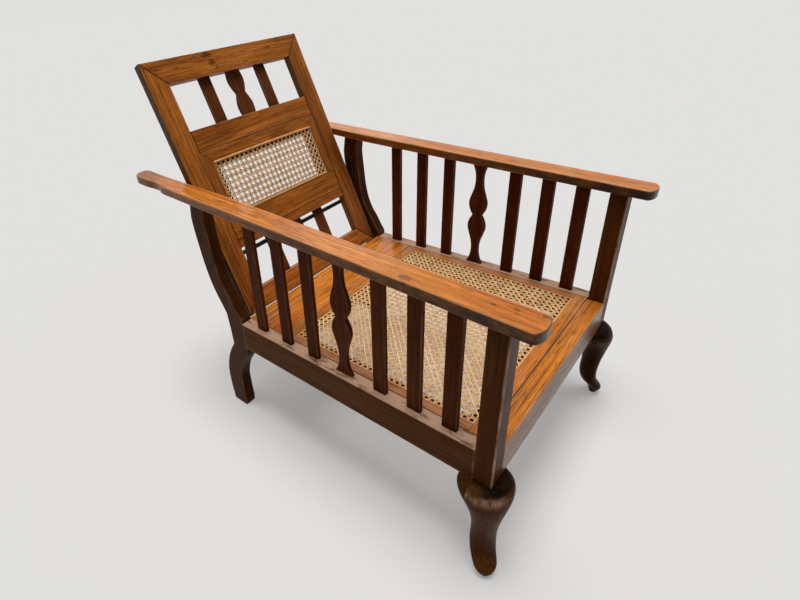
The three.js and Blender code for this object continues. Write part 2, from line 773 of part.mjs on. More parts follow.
// The drop-in seat: a tenoned frame, a cane panel in its rebate and a strip over the edge
const seat = new THREE.Group();
chair.add(seat);
const seatInner = seatHalfWidth - seatSideMember;
const rebateFront = seatFront + seatFrontMember;
const rebateRear = seatRear - seatFrontMember;
const openFront = rebateFront + caneLedge;
const openRear = rebateRear - caneLedge;
const seatOpenHalf = seatInner - caneLedge;
const seatTenonBottom = seatUnderside + (seatFrameThickness - caneRebateDepth - seatTenonThickness) / 2;
const seatRebate = block(
  -seatInner, seatInner, rebateFront, rebateRear, railTop - caneRebateDepth, railTop + cutOver);

function seatTenon(side) {
  return [
    side * (seatOpenHalf + seatTenonShoulder), side * (seatHalfWidth - seatTenonShoulder),
    openFront - seatTenonLength, openRear + seatTenonLength,
    seatTenonBottom, seatTenonBottom + seatTenonThickness,
  ];
}

const seatPockets = sides.map(([, side]) => pocket(...seatTenon(side)));
for (const [name, y0, y1] of [['front', seatFront, openFront], ['rear', openRear, seatRear]]) {
  const member = block(-seatHalfWidth, seatHalfWidth, y0, y1, seatUnderside, railTop);
  addPiece(seat, `seat_frame_${name}`, cutAll(member, [seatRebate, ...seatPockets]), 'top');
}
for (const [sideName, side] of sides) {
  const member = block(
    side * seatOpenHalf, side * seatHalfWidth, openFront, openRear, seatUnderside, railTop)
    .subtract(seatRebate)
    .add(block(...seatTenon(side)));
  addPiece(seat, `seat_frame_${sideName}`, member, 'top');
}

// Lays a geometry that was swept toward +Z flat in the seat, with its underside at a height
function laidInSeat(shape, z, thickness) {
  const geometry = swept(shape, thickness);
  geometry.translate(0, 0, z);
  return solidOf(geometry);
}

const seatPanelHalf = seatInner - glueGap;
const seatPanelFront = rebateFront + glueGap;
const seatPanelRear = rebateRear - glueGap;
const seatCaneBottom = railTop - caneRebateDepth;
addPiece(seat, 'seat_cane', laidInSeat(
  netShape(seatPanelHalf, seatPanelFront, seatPanelRear, caneLedge, caneLedge, seatCaneCounts),
  seatCaneBottom, caneThickness), 'cane');
addPiece(seat, 'seat_cane_binding', laidInSeat(
  ringShape(seatPanelHalf, seatPanelFront, seatPanelRear, bindingWidth),
  seatCaneBottom + caneThickness, bindingThickness), 'binding');

// The back: mitred outer frame, two cross rails, slats, splats and a framed cane panel
const back = new THREE.Group();
back.position.set(0, pivotBehind, pivotHeight);
back.rotation.x = -recline;
chair.add(back);

const face = -backThickness / 2;
const rear = backThickness / 2;
const stileInner = backHalfWidth - stileWidth;
const railHalf = stileInner - glueGap;
const mitreGap = glueGap * Math.SQRT2;
const backCaneHalfWidth = stileInner - caneFrameSideWidth;
const openingBottom = bottomRailWidth - backFoot;
const lowerRailBottom = openingBottom + lowerOpeningHeight;
const caneBottom = lowerRailBottom + lowerRailWidth;
const caneTop = caneBottom + backCaneHeight;
const upperRailBottom = caneTop + caneFrameHeadWidth;
const upperRailTop = upperRailBottom + upperRailWidth;
const openingTop = upperRailTop + upperOpeningHeight;
const backTop = openingTop + topRailWidth;
const tenonHalf = backTenonThickness / 2;

// Tenons run from one stile to the other, as the limits of a block
const mitreTenonEnd = stileInner + mitreTenonReach;
const crossTenonEnd = stileInner + backTenonLength;
function tenonAcross(end, low, high) {
  return [-end, end, -tenonHalf, tenonHalf, low, high];
}
const topTenon = tenonAcross(
  mitreTenonEnd, openingTop + mitreTenonShoulder, openingTop + mitreTenonShoulder + mitreTenonWidth);
const bottomTenon = tenonAcross(
  mitreTenonEnd, openingBottom - mitreTenonShoulder - mitreTenonWidth, openingBottom - mitreTenonShoulder);
const upperTenon = tenonAcross(
  crossTenonEnd, upperRailBottom + backTenonShoulder, upperRailTop - backTenonShoulder);
const lowerTenon = tenonAcross(
  crossTenonEnd, lowerRailBottom + backTenonShoulder, caneBottom - backTenonShoulder);
const stileCuts = [topTenon, bottomTenon, upperTenon, lowerTenon].map((limits) => pocket(...limits));
for (const [sideName, side] of sides) {
  const outline = shapeOf([
    [side * backHalfWidth, -backFoot],
    [side * backHalfWidth, backTop],
    [side * stileInner, openingTop],
    [side * stileInner, openingBottom],
  ]);
  const pinHole = roundBar(
    pinRadius + glueGap, side * (backHalfWidth - pinInStile - glueGap), side * (backHalfWidth + cutOver),
    0, 0, roundSides);
  const stile = cutAll(sawnThrough(outline, face, rear), [...stileCuts, pinHole]);
  addPiece(back, `back_stile_${sideName}`, stile, 'back');
}

// Slats and splats of the back, and the pockets for them in the rails
const slatFace = face + backSlatSetIn;
const slatRear = slatFace + backSlatThickness;
const openings = {
  upper: [upperRailTop, openingTop],
  lower: [openingBottom, lowerRailBottom],
};
const backPockets = [];
for (const [name, [low, high]] of Object.entries(openings)) {
  for (const [sideName, side] of sides) {
    const limits = [
      side * backSlatCentre - backSlatWidth / 2, side * backSlatCentre + backSlatWidth / 2,
      slatFace, slatRear, low - slatMortiseDepth, high + slatMortiseDepth,
    ];
    backPockets.push(pocket(...limits));
    addPiece(back, `back_slat_${name}_${sideName}`, block(...limits), 'slat');
  }
  const half = backSplatWidth / 2;
  backPockets.push(pocket(-half, half, slatFace, slatRear, low - slatMortiseDepth, high + slatMortiseDepth));
  const outline = vaseOutline(shortVaseShares, 0, backSplatWidth, low, high, slatMortiseDepth, 10);
  addPiece(back, `back_splat_${name}`, sawnThrough(shapeOf(outline), slatFace, slatRear), 'slat');
}

// A mitred rail of the outer frame: its long edge on the frame's edge, its short edge inside
function mitredRail(outerZ, innerZ) {
  const long = backHalfWidth - mitreGap;
  const short = stileInner - mitreGap;
  const outline = [[-long, outerZ], [long, outerZ], [short, innerZ], [-short, innerZ]];
  return sawnThrough(shapeOf(outline), face, rear);
}
addPiece(back, 'back_top_rail', cutAll(
  mitredRail(backTop, openingTop).add(block(...topTenon)), backPockets), 'back');
addPiece(back, 'back_bottom_rail', cutAll(
  mitredRail(-backFoot, openingBottom).add(block(...bottomTenon)), backPockets), 'back');

// The cane panel of the back lies in a rebate cut from the front, on a ledge of wood
const backRebate = block(
  -backCaneHalfWidth, backCaneHalfWidth, face - cutOver, face + caneRebateDepth, caneBottom, caneTop);
const backOpenHalf = backCaneHalfWidth - caneLedge;
const upperRail = block(-railHalf, railHalf, face, rear, upperRailBottom, upperRailTop)
  .add(block(...upperTenon));
addPiece(back, 'back_upper_cross_rail', cutAll(upperRail, backPockets), 'back');
const footLedge = block(
  -backOpenHalf + glueGap, backOpenHalf - glueGap, face + caneRebateDepth, rear,
  caneBottom - glueGap, caneBottom + caneFootLedge);
const lowerRail = block(-railHalf, railHalf, face, rear, lowerRailBottom, caneBottom)
  .add(block(...lowerTenon))
  .add(footLedge);
addPiece(back, 'back_lower_cross_rail', cutAll(lowerRail, backPockets), 'back');

// The inner frame above and beside the cane, mitred at its upper corners
const caneFrameTop = upperRailBottom - glueGap;
const caneFrameHead = shapeOf([
  [-railHalf + mitreGap, caneFrameTop],
  [railHalf - mitreGap, caneFrameTop],
  [backCaneHalfWidth - mitreGap, caneTop],
  [backOpenHalf - mitreGap, caneTop - caneLedge],
  [-backOpenHalf + mitreGap, caneTop - caneLedge],
  [-backCaneHalfWidth + mitreGap, caneTop],
]);
addPiece(back, 'back_cane_frame_top', sawnThrough(caneFrameHead, face, rear).subtract(backRebate), 'back');
for (const [sideName, side] of sides) {
  const outline = shapeOf([
    [side * backOpenHalf, caneBottom + glueGap],
    [side * railHalf, caneBottom + glueGap],
    [side * railHalf, caneFrameTop],
    [side * backCaneHalfWidth, caneTop],
    [side * backOpenHalf, caneTop - caneLedge],
  ]);
  const member = sawnThrough(outline, face, rear).subtract(backRebate);
  addPiece(back, `back_cane_frame_${sideName}`, member, 'back');
}

const backPanelHalf = backCaneHalfWidth - glueGap;
const backPanelLow = caneBottom + glueGap;
const backPanelHigh = caneTop - glueGap;
const backCaneRear = face + caneRebateDepth - glueGap;
const backCaneFace = backCaneRear - caneThickness;
addPiece(back, 'back_cane', sawnThrough(
  netShape(backPanelHalf, backPanelLow, backPanelHigh, caneLedge, caneFootLedge, backCaneCounts),
  backCaneFace, backCaneRear), 'cane');
const bindingRear = backCaneFace - glueGap;
addPiece(back, 'back_cane_binding', sawnThrough(
  ringShape(backPanelHalf, backPanelLow, backPanelHigh, bindingWidth),
  bindingRear - bindingThickness, bindingRear), 'binding');

export default chair;
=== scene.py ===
"""A planters chair: its finished boards, legs, cane and ironwork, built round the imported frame."""

import math

import bpy
import numpy as np
from bpy.props import FloatProperty, FloatVectorProperty, IntProperty, PointerProperty
from mathutils import Matrix


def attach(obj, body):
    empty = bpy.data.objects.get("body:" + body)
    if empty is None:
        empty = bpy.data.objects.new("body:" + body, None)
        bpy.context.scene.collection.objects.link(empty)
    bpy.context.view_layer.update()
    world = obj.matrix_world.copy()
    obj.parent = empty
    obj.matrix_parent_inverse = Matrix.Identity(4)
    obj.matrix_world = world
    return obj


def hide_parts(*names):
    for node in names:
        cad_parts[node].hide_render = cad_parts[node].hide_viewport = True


bl_info = {
    "name": "Planters Chair",
    "version": (1, 0, 0),
    "blender": (4, 5, 0),
    "location": "3D View > Sidebar > Planters Chair",
    "description": "Builds the look of a slatted planters chair with a caned seat and back",
    "category": "Object",
}

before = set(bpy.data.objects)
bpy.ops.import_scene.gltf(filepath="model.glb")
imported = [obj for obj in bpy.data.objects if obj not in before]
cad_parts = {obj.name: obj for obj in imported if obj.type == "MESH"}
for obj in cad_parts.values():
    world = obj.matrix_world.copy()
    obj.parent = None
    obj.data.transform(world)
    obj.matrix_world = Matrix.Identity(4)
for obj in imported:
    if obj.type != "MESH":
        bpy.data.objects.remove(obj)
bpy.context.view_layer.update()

# The chair's working drawing, in millimetres: X to the chair's left, Y to the rear from the
# posts' front faces, Z up from the floor
DEPTH_CENTRE = 482.0
GLUE_GAP = 0.3
HALF_WIDTH = 310.0
POST_WIDTH, POST_DEPTH = 40.0, 36.0
RAIL_BOTTOM, RAIL_TOP = 229.0, 306.0
SIDE_RAIL_THICKNESS = 32.0
REAR_LEG_THICKNESS = 32.0
FRONT_RAIL_THICKNESS = 38.0
SIDE_RAIL_END = 662.0
POST_INNER = HALF_WIDTH - POST_WIDTH
RAIL_INNER = HALF_WIDTH - SIDE_RAIL_THICKNESS
REAR_LEG_INNER = HALF_WIDTH - REAR_LEG_THICKNESS
SEAT_UNDERSIDE = 284.0
REAR_BOARD = (547.6, 668.0)
REAR_RAIL, REAR_RAIL_HEIGHT = (633.0, 657.0), 50.0
CLEAT_WIDTH, CLEAT_HEIGHT = 20.0, 22.0
SHOULDER_GAP, END_EASE = 0.2, 0.6
ARM_TOP_AT_FRONT, ARM_THICKNESS, ARM_RISE = 602.0, 21.0, 0.045
ARM_INNER, ARM_OUTER = 268.0, 326.0
ARM_FRONT, ARM_BOW = -32.0, 14.0
ARM_REAR_END = 1010.0
# The arm's tail: its waist, hollow and tip, how far in its edges lie, and its two rounds
ARM_WAIST, ARM_HOLLOW, ARM_TIP = 104.0, 42.0, 36.0
ARM_WAIST_IN, ARM_TIP_IN, ARM_INNER_IN = 8.0, 3.0, 9.0
ARM_OUTER_ROUND, ARM_INNER_ROUND = 27.0, 18.0
SLAT_OUTER, SLAT_INNER = 296.0, 285.0
SLAT_WIDTH = 30.0
SLAT_SHARES = (0.0942, 0.2157, 0.3419, 0.631, 0.7652, 0.9026)
SPLAT_SHARE, SPLAT_WIDTH = 0.4904, 48.0
MORTISE = 8.0
KNEE_REACH = 54.0
REAR_FOOT_REACH = 104.0

# The seat frame and the rebate for its cane
SEAT_HALF = 277.3
SEAT_FRONT, SEAT_REAR = 38.7, 546.9
SEAT_REBATE_X = 255.8
SEAT_REBATE_FRONT, SEAT_REBATE_REAR = 65.7, 519.9
LEDGE, FOOT_LEDGE = 16.0, 8.0
REBATE_DEPTH = 4.6
WEAVE_LIFT, WEAVE_INSET, STRIP_LIFT = 0.9, 1.5, 2.3
SEAT_HOLES_X, SEAT_HOLES_Y = (-241.6, 241.6), (80.4, 506.9)

# The back, in its own frame: z up the back from the pivot, y to its rear
RECLINE = math.radians(24.0)
PIVOT_Y, PIVOT_Z = 693.8, 312.5
BACK_HALF = 267.0
BACK_FACE, BACK_REAR = -12.0, 12.0
STILE_INNER = 209.5
BACK_FOOT, OPENING_BOTTOM, LOWER_RAIL, CANE_BOTTOM = -18.5, 36.0, 151.5, 235.0
CANE_TOP, UPPER_RAIL, UPPER_RAIL_TOP, OPENING_TOP, BACK_TOP = 383.0, 413.0, 470.0, 591.0, 652.0
BACK_CANE_HALF = 182.5
BACK_HOLES_X, BACK_HOLES_Z = (-177.1, 177.1), (237.1, 382.0)
BACK_SLAT_PLACE, BACK_SLAT_HALF, BACK_SPLAT_WIDTH = 97.0, 18.0, 52.0
BACK_SLAT_FACE, BACK_SLAT_REAR = BACK_FACE + 12.0, BACK_FACE + 20.0

# The ironwork
ROD_RADIUS, ROD_HALF = 6.0, 277.5
ROD_UP_BACK, ROD_BEHIND = 134.0, BACK_REAR + ROD_RADIUS + GLUE_GAP
TROUGH = ROD_RADIUS + GLUE_GAP
HOOK_COUNT, HOOK_PITCH, HOOK_LEAN = 3, 44.0, 0.06
PLATE_THICKNESS, SPINE_WIDTH, FINGER_DEPTH = 4.5, 7.5, 7.0
PLATE_BELOW, PLATE_HEAD, PLATE_HEAD_TOP, PLATE_ABOVE = 24.0, 20.0, 29.0, 38.0
SCREW_HEIGHTS, SCREW_TURN = (22.0, 66.0, 118.0), 1.1
SCREW_RADIUS, SCREW_RISE, SLOT_HALF, SLOT_DEPTH = 2.9, 1.5, 0.42, 0.55
PIN_RADIUS, PIN_IN_STILE, PIN_IN_LEG = 4.0, 14.0, 20.0

SIDES = (("right", -1.0), ("left", 1.0))


def tint(red, green, blue):
    """A colour as it is seen, 0 to 255, as the linear colour that a shader takes."""
    seen = np.array([red, green, blue]) / 255.0
    linear = np.where(seen <= 0.04045, seen / 12.92, ((seen + 0.055) / 1.055) ** 2.4)
    return tuple(float(value) for value in linear)


# ---------------------------------------------------------------- sizes and colours


def length(name, description, default, low, high):
    """A length property in metres."""
    return FloatProperty(
        name=name, description=description, default=default, min=low, max=high,
        precision=4, subtype="DISTANCE", unit="LENGTH")


def spaces(name, description, default):
    """A whole number of spaces in the weave."""
    return IntProperty(name=name, description=description, default=default, min=2, max=60)


def colour(name, description, default):
    """A colour property."""
    return FloatVectorProperty(
        name=name, description=description, default=default, min=0.0, max=1.0, size=3,
        subtype="COLOR")


class ChairSizes(bpy.types.PropertyGroup):
    """Sizes of the finish: eased edges and the weave of the cane."""

    board_edge: length(
        "Board edge", "Radius of the eased edges of rails and frames", 0.0012, 0.0002, 0.003)
    slat_edge: length(
        "Slat edge", "Radius of the eased edges of slats and splats", 0.0011, 0.0002, 0.003)
    arm_edge: length("Arm edge", "Radius of the rounded edges of the arms", 0.003, 0.001, 0.009)
    rear_leg_edge: length(
        "Rear leg edge", "Radius of the rounded edges of the rear legs", 0.0028, 0.0005, 0.006)
    iron_edge: length(
        "Iron edge", "Radius of the worn edges of the ironwork", 0.0006, 0.0001, 0.0015)
    strand_width: length("Cane strand", "Width of a strand of cane", 0.0026, 0.001, 0.004)
    strand_thickness: length(
        "Cane thickness", "Thickness of a strand of cane", 0.0009, 0.0002, 0.0012)
    strand_pair: length(
        "Strand pair", "Distance between the two strands of a pair", 0.0044, 0.002, 0.006)
    seat_columns: spaces("Seat columns", "Spaces between holes across the seat", 32)
    seat_rows: spaces("Seat rows", "Spaces between holes from front to rear of the seat", 31)
    back_columns: spaces("Back columns", "Spaces between holes across the back", 22)
    back_rows: spaces("Back rows", "Spaces between holes up the back", 9)


class ChairColours(bpy.types.PropertyGroup):
    """Colours of the finishes, the floor and the backdrop."""

    frame_wood: colour("Frame wood", "Legs, posts and side rails", tint(94, 52, 20))
    top_wood: colour(
        "Top wood", "Arms, front rail, seat frame and the board behind it", tint(206, 122, 38))
    slat_wood: colour("Slat wood", "Slats and splats", tint(88, 40, 17))
    back_wood: colour("Back wood", "Rails and stiles of the back", tint(172, 98, 32))
    cane: colour("Cane", "Strands of the seat and back", tint(232, 186, 124))
    binding: colour("Cane binding", "Strip over the cane's edge", tint(240, 172, 96))
    iron: colour("Iron", "Hook plates, pins and rod", tint(34, 34, 36))
    backdrop: colour("Backdrop", "Floor and background", tint(225, 224, 222))


# ---------------------------------------------------------------- shapes


def unit(vectors):
    """Each vector divided by its own length."""
    return vectors / np.maximum(np.linalg.norm(vectors, axis=-1, keepdims=True), 1e-12)


def in_chair(points):
    """Working drawing to frame: millimetres to metres, with Y counted from the chair's middle."""
    moved = np.array(points, float)
    moved[..., 1] -= DEPTH_CENTRE
    return moved * 0.001


def on_back(points):
    """The back's own frame to the working drawing: turned by the recline about the pivot."""
    x, y, z = np.moveaxis(np.asarray(points, float), -1, 0)
    sine, cosine = math.sin(RECLINE), math.cos(RECLINE)
    return np.stack([x, PIVOT_Y + z * sine + y * cosine, PIVOT_Z + z * cosine - y * sine], -1)


def across(points):
    """Outline in Y and Z, sawn across X."""
    y, z, x = np.moveaxis(points, -1, 0)
    return np.stack([x, y, z], -1)


def along_y(points):
    """Section in X and Z, carried along Y."""
    x, z, y = np.moveaxis(points, -1, 0)
    return np.stack([x, y, z], -1)


def flat(points):
    """Outline in X and Y, with its thickness up Z."""
    return points


def back_flat(points):
    """Outline in the back's X and Z, with its thickness to the rear."""
    x, z, y = np.moveaxis(points, -1, 0)
    return on_back(np.stack([x, y, z], -1))


class Shell:
    """A closed surface: its points, faces and normals, and what its finish reads at each point."""

    def __init__(self, points, quads, ends, normals=None, grain=None, **finish):
        self.points = points
        self.quads = quads
        self.ends = [np.asarray(end) for end in ends]
        self.normals = normals
        self.grain = points * 0.001 if grain is None else grain
        blank = np.zeros(len(points))
        self.tone, self.wear, self.grime = (
            finish.get(key, blank) for key in ("tone", "wear", "grime"))
        if self.volume() < 0:
            self.quads = self.quads[:, ::-1]
            self.ends = [end[::-1] for end in self.ends]

    def volume(self):
        """Sum over the faces of a third of their area times their distance from the origin."""
        a, b, c, d = (self.points[self.quads[:, i]] for i in range(4))
        total = np.sum(a * np.cross(b, c)) + np.sum(a * np.cross(c, d))
        for end in self.ends:
            p = self.points[end]
            total += np.sum(p[0] * np.cross(p[1:-1], p[2:]))
        return total / 6


def ring_quads(levels, count):
    """Quads between rings that follow each other, each ring closed on itself."""
    low = np.arange(levels - 1)[:, None] * count
    here = np.arange(count)[None, :]
    ahead = (here + 1) % count
    corners = [low + here, low + ahead, low + ahead + count, low + here + count]
    return np.stack(corners, -1).reshape(-1, 4)


def ringed(rings, **data):
    """A shell through rings of points, with a face over the first and the last."""
    levels, count = rings.shape[:2]
    ends = [np.arange(count)[::-1], np.arange(count) + (levels - 1) * count]
    return Shell(rings.reshape(-1, 3), ring_quads(levels, count), ends, **data)


# Farther than any place, the least turn that counts as a corner, and the wear over its arc
FAR = 1e9
TRUE_CORNER = math.radians(24)
CORNER_RUB = (0.3, 1, 1, 1, 0.3)


def dressed(points, radius, depth):
    """An outline made ready for easing: anticlockwise, each true corner rounded by an arc of the
    radius or left sharp, with a point on either side, out of the way of an inward offset of the
    depth. Gives each point, its outward normal, how far its inward offset runs per unit, where
    that stops, where it goes from there, and how much a rounded corner is rubbed."""
    p = np.asarray(points, float)
    ahead = np.roll(p, -1, 0)
    if np.sum(p[:, 0] * ahead[:, 1] - p[:, 1] * ahead[:, 0]) < 0:
        p = p[::-1]
        ahead = np.roll(p, -1, 0)
    step = ahead - p
    lengths = np.linalg.norm(step, axis=1)
    after = unit(step)
    before = np.roll(after, 1, 0)
    turn = np.arctan2(
        before[:, 0] * after[:, 1] - before[:, 1] * after[:, 0], np.sum(before * after, 1))
    normal_before = np.stack([before[:, 1], -before[:, 0]], 1)
    normal_after = np.stack([after[:, 1], -after[:, 0]], 1)
    normal = unit(normal_before + normal_after)
    mitre = 1 / np.cos(turn / 2)
    rows = []
    for i, angle in enumerate(turn):
        row = [[*p[i], *normal[i], mitre[i], FAR, *-normal[i], mitre[i], 0]]
        if abs(angle) >= TRUE_CORNER:
            reach = math.tan(abs(angle) / 2)
            room = 0.45 * min(lengths[i - 1], lengths[i])
            r = min(radius, room / reach)
            if radius > 0:
                bend = 1 if angle > 0 else -1
                centre = p[i] - before[i] * r * reach - bend * normal_before[i] * r
                start = math.atan2(normal_before[i][1], normal_before[i][0])
                sweep = start + np.linspace(0, angle, 5)
                spokes = np.stack([np.cos(sweep), np.sin(sweep)], 1)
                stop = r * 0.96 if bend > 0 else FAR
                row = [
                    [*(centre + bend * spoke * r), *spoke, 1, stop, *-normal[i], mitre[i], rub]
                    for spoke, rub in zip(spokes, CORNER_RUB)]
            near = max(depth, r) * reach * 1.15 + 0.5
            if near < room:
                row.insert(0, [*(p[i] - before[i] * near), *normal_before[i], 1, FAR, 0, 0, 0, 0])
                row.append([*(p[i] + after[i] * near), *normal_after[i], 1, FAR, 0, 0, 0, 0])
        rows.append(row)
    table = np.concatenate([np.array(row, float) for row in rows])
    return tuple(table[:, part] for part in (slice(0, 2), slice(2, 4), 4, 5, slice(6, 8), 8, 9))


def near_lines(*lines, reach=0.05):
    """A test for points of an outline: 1 on any of the lines between two places, else 0."""
    def test(points):
        """The greatest of the tests on each line: a point's distance from its nearest place."""
        found = np.zeros(len(points))
        for start, end in lines:
            start, end = np.asarray(start, float), np.asarray(end, float)
            run = end - start
            t = np.clip((points - start) @ run / (run @ run), 0, 1)
            away = np.linalg.norm(points - start - t[:, None] * run, axis=1)
            found = np.maximum(found, away < reach)
        return found
    return test


def sawn(outline, low, high, place, along="v", edge=1.2, corner=0.0, worn_and_sheen=1.0, fade=3.0,
         joints=None, soiled=None, rubbed=None, sides=0.0):
    """A board: an outline carried from one height to another, its edges eased by quarter circles.
    A ring at angle a on an edge is set in by r(1 - cos a) and lies r(1 - sin a) from the face.
    Wear is full on the edge and gone a few millimetres from it, except where the edge lies in a
    joint, which is darkened. Outline points may also be painted with shade, or rubbed pale all the
    way across, partly real rubbing and partly a painted sheen, and all of the sides painted a little
    darker as shade. The grain runs along one axis."""
    p, n, mitre, stop, inward, pace, rub = dressed(outline, corner, edge + fade)
    slope = np.linspace(math.pi / 2, 0, 5)
    inset = edge * (1 - np.cos(slope))
    rise = edge * (1 - np.sin(slope))
    room = max((high - low) / 2 - edge, 0.2)
    side_fade = min(fade, room * 0.8)
    insets = np.concatenate([[edge + fade], inset, [0.0]])
    heights = np.concatenate([[0.0], rise, [edge + side_fade]])
    tilt = np.concatenate([[math.pi / 2], slope, [0.0]])
    worn_ring = np.concatenate([[0.0], np.sin(2 * slope) * 0.7 + 0.3, [0.0]])
    joint_ring = np.concatenate([[0.0], np.cos(slope) * 0.6 + 0.4, [1.0]])
    insets = np.concatenate([insets, insets[::-1]])
    tilts = np.concatenate([-tilt, tilt[::-1]])
    levels = np.concatenate([low + heights, high - heights[::-1]])
    worn_ring = np.concatenate([worn_ring, worn_ring[::-1]])
    joint_ring = np.concatenate([joint_ring, joint_ring[::-1]])
    own = np.minimum(insets[:, None], stop[None, :])
    further = np.maximum(insets[:, None] - stop[None, :], 0)
    uv = p[None] - (own * mitre)[..., None] * n[None] + (further * pace)[..., None] * inward[None]
    w = np.broadcast_to(levels[:, None, None], uv.shape[:2] + (1,))
    local = np.concatenate([uv, w], -1)
    cos, sin = np.cos(tilts)[:, None, None], np.sin(tilts)[:, None, None]
    local_normal = np.concatenate([cos * n[None], np.broadcast_to(sin, uv.shape[:2] + (1,))], -1)
    placed = place(local)
    normals = unit(place(local + local_normal * 0.1) - placed)
    facing = np.cos(tilts)[:, None]
    wear = np.maximum(worn_ring[:, None], rub[None] * facing) * worn_and_sheen
    # all of the sides are painted a little darker by a share, as shade
    grime = facing * sides + np.zeros_like(wear)
    if joints is not None:
        mask = joints(p)[None]
        wear = wear * (1 - mask)
        grime = np.maximum(grime, joint_ring[:, None] * mask)
    # points painted with shade all the way across, and points rubbed pale, partly real rubbing and
    # partly a painted sheen
    if soiled is not None:
        grime = np.maximum(grime, facing * soiled(p)[None])
        wear = wear * (1 - grime)
    if rubbed is not None:
        wear = np.maximum(wear, facing * rubbed(p)[None])
    order = {"u": (1, 2, 0), "v": (0, 2, 1), "w": (0, 1, 2)}[along]
    return ringed(
        placed, normals=normals.reshape(-1, 3), grain=(local[..., order] * 0.001).reshape(-1, 3),
        wear=wear.ravel(), grime=grime.ravel())


def carried(section, stations, place, corner, worn_and_sheen, grime):
    """A member whose section, its corners rounded, is carried through places along it, with a
    darkening given for each of them: soiling at its joints, and painted shade where other parts
    shade it."""
    p, n, _, _, _, _, rub = dressed(section, corner, 2.0)
    stations = np.asarray(stations, float)
    flat_points = np.broadcast_to(p[None], (len(stations),) + p.shape)
    w = np.broadcast_to(stations[:, None, None], flat_points.shape[:2] + (1,))
    local = np.concatenate([flat_points, w], -1)
    placed = place(local)
    local_normal = np.concatenate([n, np.zeros((len(n), 1))], 1)
    normals = unit(place(local + local_normal[None] * 0.1) - placed)
    dirt_and_shade = np.asarray(grime, float)[:, None] + np.zeros(len(p))
    wear = np.broadcast_to(rub[None] * worn_and_sheen, dirt_and_shade.shape) * (1 - np.clip(dirt_and_shade, 0, 1))
    return ringed(
        placed, normals=normals.reshape(-1, 3), grain=(local * 0.001).reshape(-1, 3),
        wear=wear.ravel(), grime=dirt_and_shade.ravel())


def rectangle(u0, u1, v0, v1):
    """The four corners between two places on each axis."""
    return [[u0, v0], [u1, v0], [u1, v1], [u0, v1]]


def circle(u, v, radius, count=40):
    """Points round a centre."""
    angle = np.arange(count) * 2 * math.pi / count
    return np.stack([u + radius * np.cos(angle), v + radius * np.sin(angle)], 1)


def smooth_through(knots, steps):
    """A curve through knots: on each span the cubic whose slope at a knot is half the step
    between the knots beside it."""
    p = np.asarray(knots, float)
    last = len(p) - 1
    t = np.linspace(0, last, steps + 1)
    i = np.minimum(t.astype(int), last - 1)
    f = (t - i)[:, None]
    before, here, there = p[np.maximum(i - 1, 0)], p[i], p[i + 1]
    beyond = p[np.minimum(i + 2, last)]
    leave, arrive = (there - before) / 2, (beyond - here) / 2
    return ((2 * here - 2 * there + leave + arrive) * f ** 3
            + (3 * there - 3 * here - 2 * leave - arrive) * f ** 2 + leave * f + here)


def bezier(*controls, steps=12):
    """Points on the curve that controls pull on, without its first."""
    t = np.linspace(0, 1, steps + 1)[1:, None]
    order = len(controls) - 1
    return sum(
        math.comb(order, k) * (1 - t) ** (order - k) * t ** k * np.asarray(c, float)
        for k, c in enumerate(controls))


# Corners of a strand's section, as shares of its width and thickness
STRAND_SECTION = np.array(
    [[-0.5, 0], [-0.3, 0.5], [0.3, 0.5], [0.5, 0], [0.3, -0.5], [-0.3, -0.5]])


def strands(paths, sideways, upward, width, thickness, tones):
    """Flat strands, each a low six-sided section carried along a path: a corner lies at the
    path's point plus a share of the width sideways and of the thickness upward."""
    count, samples = paths.shape[:2]
    section, corners = STRAND_SECTION, len(STRAND_SECTION)
    sideways = np.broadcast_to(sideways, paths.shape)
    upward = np.broadcast_to(upward, paths.shape)
    points = (paths[:, :, None] + section[None, None, :, :1] * width * sideways[:, :, None]
              + section[None, None, :, 1:] * thickness * upward[:, :, None])
    quads = ring_quads(samples, corners)
    stride = samples * corners
    starts = np.arange(count) * stride
    all_quads = (quads[None] + starts[:, None, None]).reshape(-1, 4)
    first = (np.arange(corners)[::-1][None] + starts[:, None])
    last = (np.arange(corners)[None] + starts[:, None] + stride - corners)
    run = np.concatenate([np.zeros((count, 1)), np.cumsum(
        np.linalg.norm(np.diff(paths, axis=1), axis=2), 1)], 1)
    grain = np.zeros(points.shape)
    grain[..., 0] = section[None, None, :, 0] * width * 0.001
    grain[..., 1] = np.arange(count)[:, None, None] * 0.37
    grain[..., 2] = run[:, :, None] * 0.001
    return Shell(
        points.reshape(-1, 3), all_quads, [*first, *last], grain=grain.reshape(-1, 3),
        tone=np.repeat(tones, stride))


